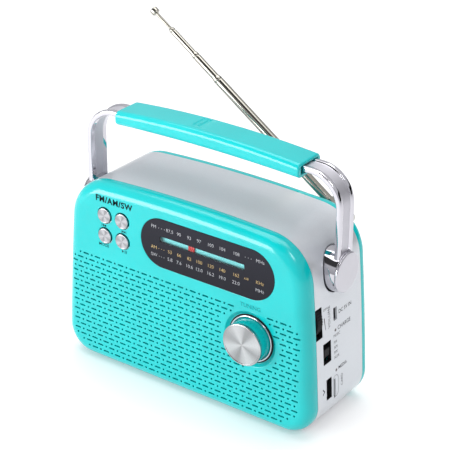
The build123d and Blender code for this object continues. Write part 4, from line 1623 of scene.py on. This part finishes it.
@dataclass(frozen=True)
class Studio:
    """Pale floor, surroundings, lights and camera."""

    azimuth: float = 35.69
    elevation: float = 26.32
    roll: float = 0.37
    stand: tuple[float, float, float] = (0.4312, -0.5902, 0.4555)
    lens: float = 118.49

    def camera(self) -> None:
        """Place the camera."""
        a, e, r = (math.radians(v) for v in (self.azimuth, self.elevation, self.roll))
        ahead = Vector((-math.sin(a) * math.cos(e), math.cos(a) * math.cos(e), -math.sin(e)))
        level = Vector((math.cos(a), math.sin(a), 0))
        upright = level.cross(ahead)
        right = level * math.cos(r) + upright * math.sin(r)
        up = upright * math.cos(r) - level * math.sin(r)
        data = bpy.data.cameras.new("camera")
        data.lens, data.sensor_width = self.lens, 36.0
        data.clip_start, data.clip_end = 0.01, 60.0
        camera = bpy.data.objects.new("camera", data)
        camera.matrix_world = Matrix.Translation(self.stand) @ Matrix(
            (right, up, -ahead)).transposed().to_4x4()
        bpy.context.scene.collection.objects.link(camera)
        bpy.context.scene.camera = camera

    def floor(self) -> None:
        """Lay the floor."""
        rings = []
        for radius in (0.0005, 0.4, 1.2, 4.0, 12.0):
            rings.append([(radius * 1000 * math.cos(2 * math.pi * i / 48),
                           radius * 1000 * math.sin(2 * math.pi * i / 48), 0.0)
                          for i in range(48)])
        points, faces = loft(rings, capped=False)
        floor = make_object("floor", points, faces + [list(range(48))])
        shader = Shader("pale_floor")
        cloud = shader.noise(3.0, 2.0)
        body = shader.node("ShaderNodeBsdfPrincipled", None, {
            "Base Color": shader.mix(cloud, (0.86, 0.86, 0.865), (0.88, 0.88, 0.88)),
            "Roughness": 0.6, "Emission Color": (1.0, 1.0, 1.0), "Emission Strength": 0.15,
            "Specular IOR Level": 0.2})
        shader.node("ShaderNodeOutputMaterial", None, {"Surface": body.outputs[0]})
        floor.data.materials.append(shader.material)

    def world(self) -> None:
        """Set the surroundings: pale all round, dark low at the back right and high in front."""
        world = bpy.data.worlds.new("surroundings")
        bpy.context.scene.world = world
        world.use_nodes = True
        shader = Shader("surroundings", world.node_tree)
        place = shader.node("ShaderNodeTexCoord").outputs["Generated"]
        split = shader.node("ShaderNodeSeparateXYZ", None, {"Vector": place})
        x, y, z = (Value(shader, split.outputs[i]) for i in range(3))
        sky = shader.node("ShaderNodeValToRGB", {"stops": (
            (0.0, (0.62, 0.63, 0.66)), (0.45, (0.82, 0.83, 0.85)), (1.0, (1.0, 1.0, 1.0)))},
            {"Fac": z})
        corner = x.smooth(0.26, 0.32) * y.smooth(0.1, 0.2) * (1 - z.smooth(0.31, 0.35))
        near = (x + 0.1) ** 2.0 + (y + 0.45) ** 2.0 + (z - 0.89) ** 2.0
        high = 1 - (near ** 0.5).smooth(0.44, 0.52)
        shade = corner.math("MAXIMUM", high * 0.92)
        back = shader.node("ShaderNodeBackground", None, {
            "Color": shader.mix(shade, sky.outputs["Color"], (0.0, 0.0, 0.0)), "Strength": 0.86})
        shader.node("ShaderNodeOutputWorld", None, {"Surface": back.outputs[0]})

    def build(self) -> None:
        """Set up the studio."""
        self.camera()
        self.floor()
        self.world()
        middle = (0.0, 0.0, 0.07)
        Lamp("overhead", (-0.15, 0.15, 1.30), middle, (1.2, 1.0), 10.5).build()
        Lamp("key_low_left", (-0.75, -1.10, 0.28), (0.0, 0.0, 0.1), (0.9, 0.6), 17.0).build()
        Lamp("glint_right", (0.72, -0.40, 1.0), middle, (0.20, 0.36), 2.6).build()
        bpy.context.scene.view_settings.view_transform = "Standard"
        LOG.info("studio ready")


@dataclass(frozen=True)
class CarriedNodes:
    """CAD nodes whose shape is right, with the slot that each takes."""

    def build(self) -> None:
        """Dress them all."""
        dress_node(Slot.TURQUOISE, "rear_shell", "battery_door")
        dress_node(Slot.SILVER, "top_panel", "bottom_panel", "side_panel_left", "side_panel_right")
        dress_node(Slot.PANEL, "dial_panel")
        dress_node(Slot.WINDOW, "dial_window")
        dress_node(Slot.SCALE, "dial_backplate")
        dress_node(Slot.POINTER, "tuning_pointer")
        dress_node(Slot.BLACK, "band_slider", "volume_wheel", "battery_tray", "volume_pot",
                   "band_switch", "card_socket")
        dress_node(Slot.NATURAL, "dial_drum", "pulley_left", "pulley_right", "pulley_bracket",
                   "tuning_capacitor")
        dress_node(Slot.FIBRE, "dial_cord")
        dress_node(Slot.BOARD, "main_board", "button_board")
        dress_node(Slot.NICKEL, "aerial_knuckle", "aerial_fork")
        dress_node(Slot.STEEL, "aerial_bracket", "elbow_pin", "pivot_pins", "tuning_shaft",
                   "pointer_rail", "speaker_basket", "speaker_magnet", "usb_socket", "dc_socket",
                   "case_screws", "tact_switches", "board_components")
        dress_node(Slot.BRASS, "battery_contacts")
        dress_node(Slot.FERRITE, "ferrite_aerial")
        dress_node(Slot.PAPER, "speaker_cone")
        dress_node(Slot.CELL, "battery_cell")
        dress_node(Slot.LENS, "indicator_lights")
        dress_node(Slot.RUBBER, "rubber_feet")


def main() -> None:
    """Build every sub-assembly in order."""
    logging.basicConfig(level=logging.INFO, format="%(name)s: %(message)s")
    CarriedNodes().build()
    shell = FrontShell()
    dress(shell.build(), Slot.TURQUOISE, "case", "front_shell")
    shell.prints()
    Dial().build()
    SidePrints().build()
    TuningKnob().build()
    Keypad().build()
    Handle().build()
    Aerial().build()
    Studio().build()


if __name__ == "__main__":
    main()
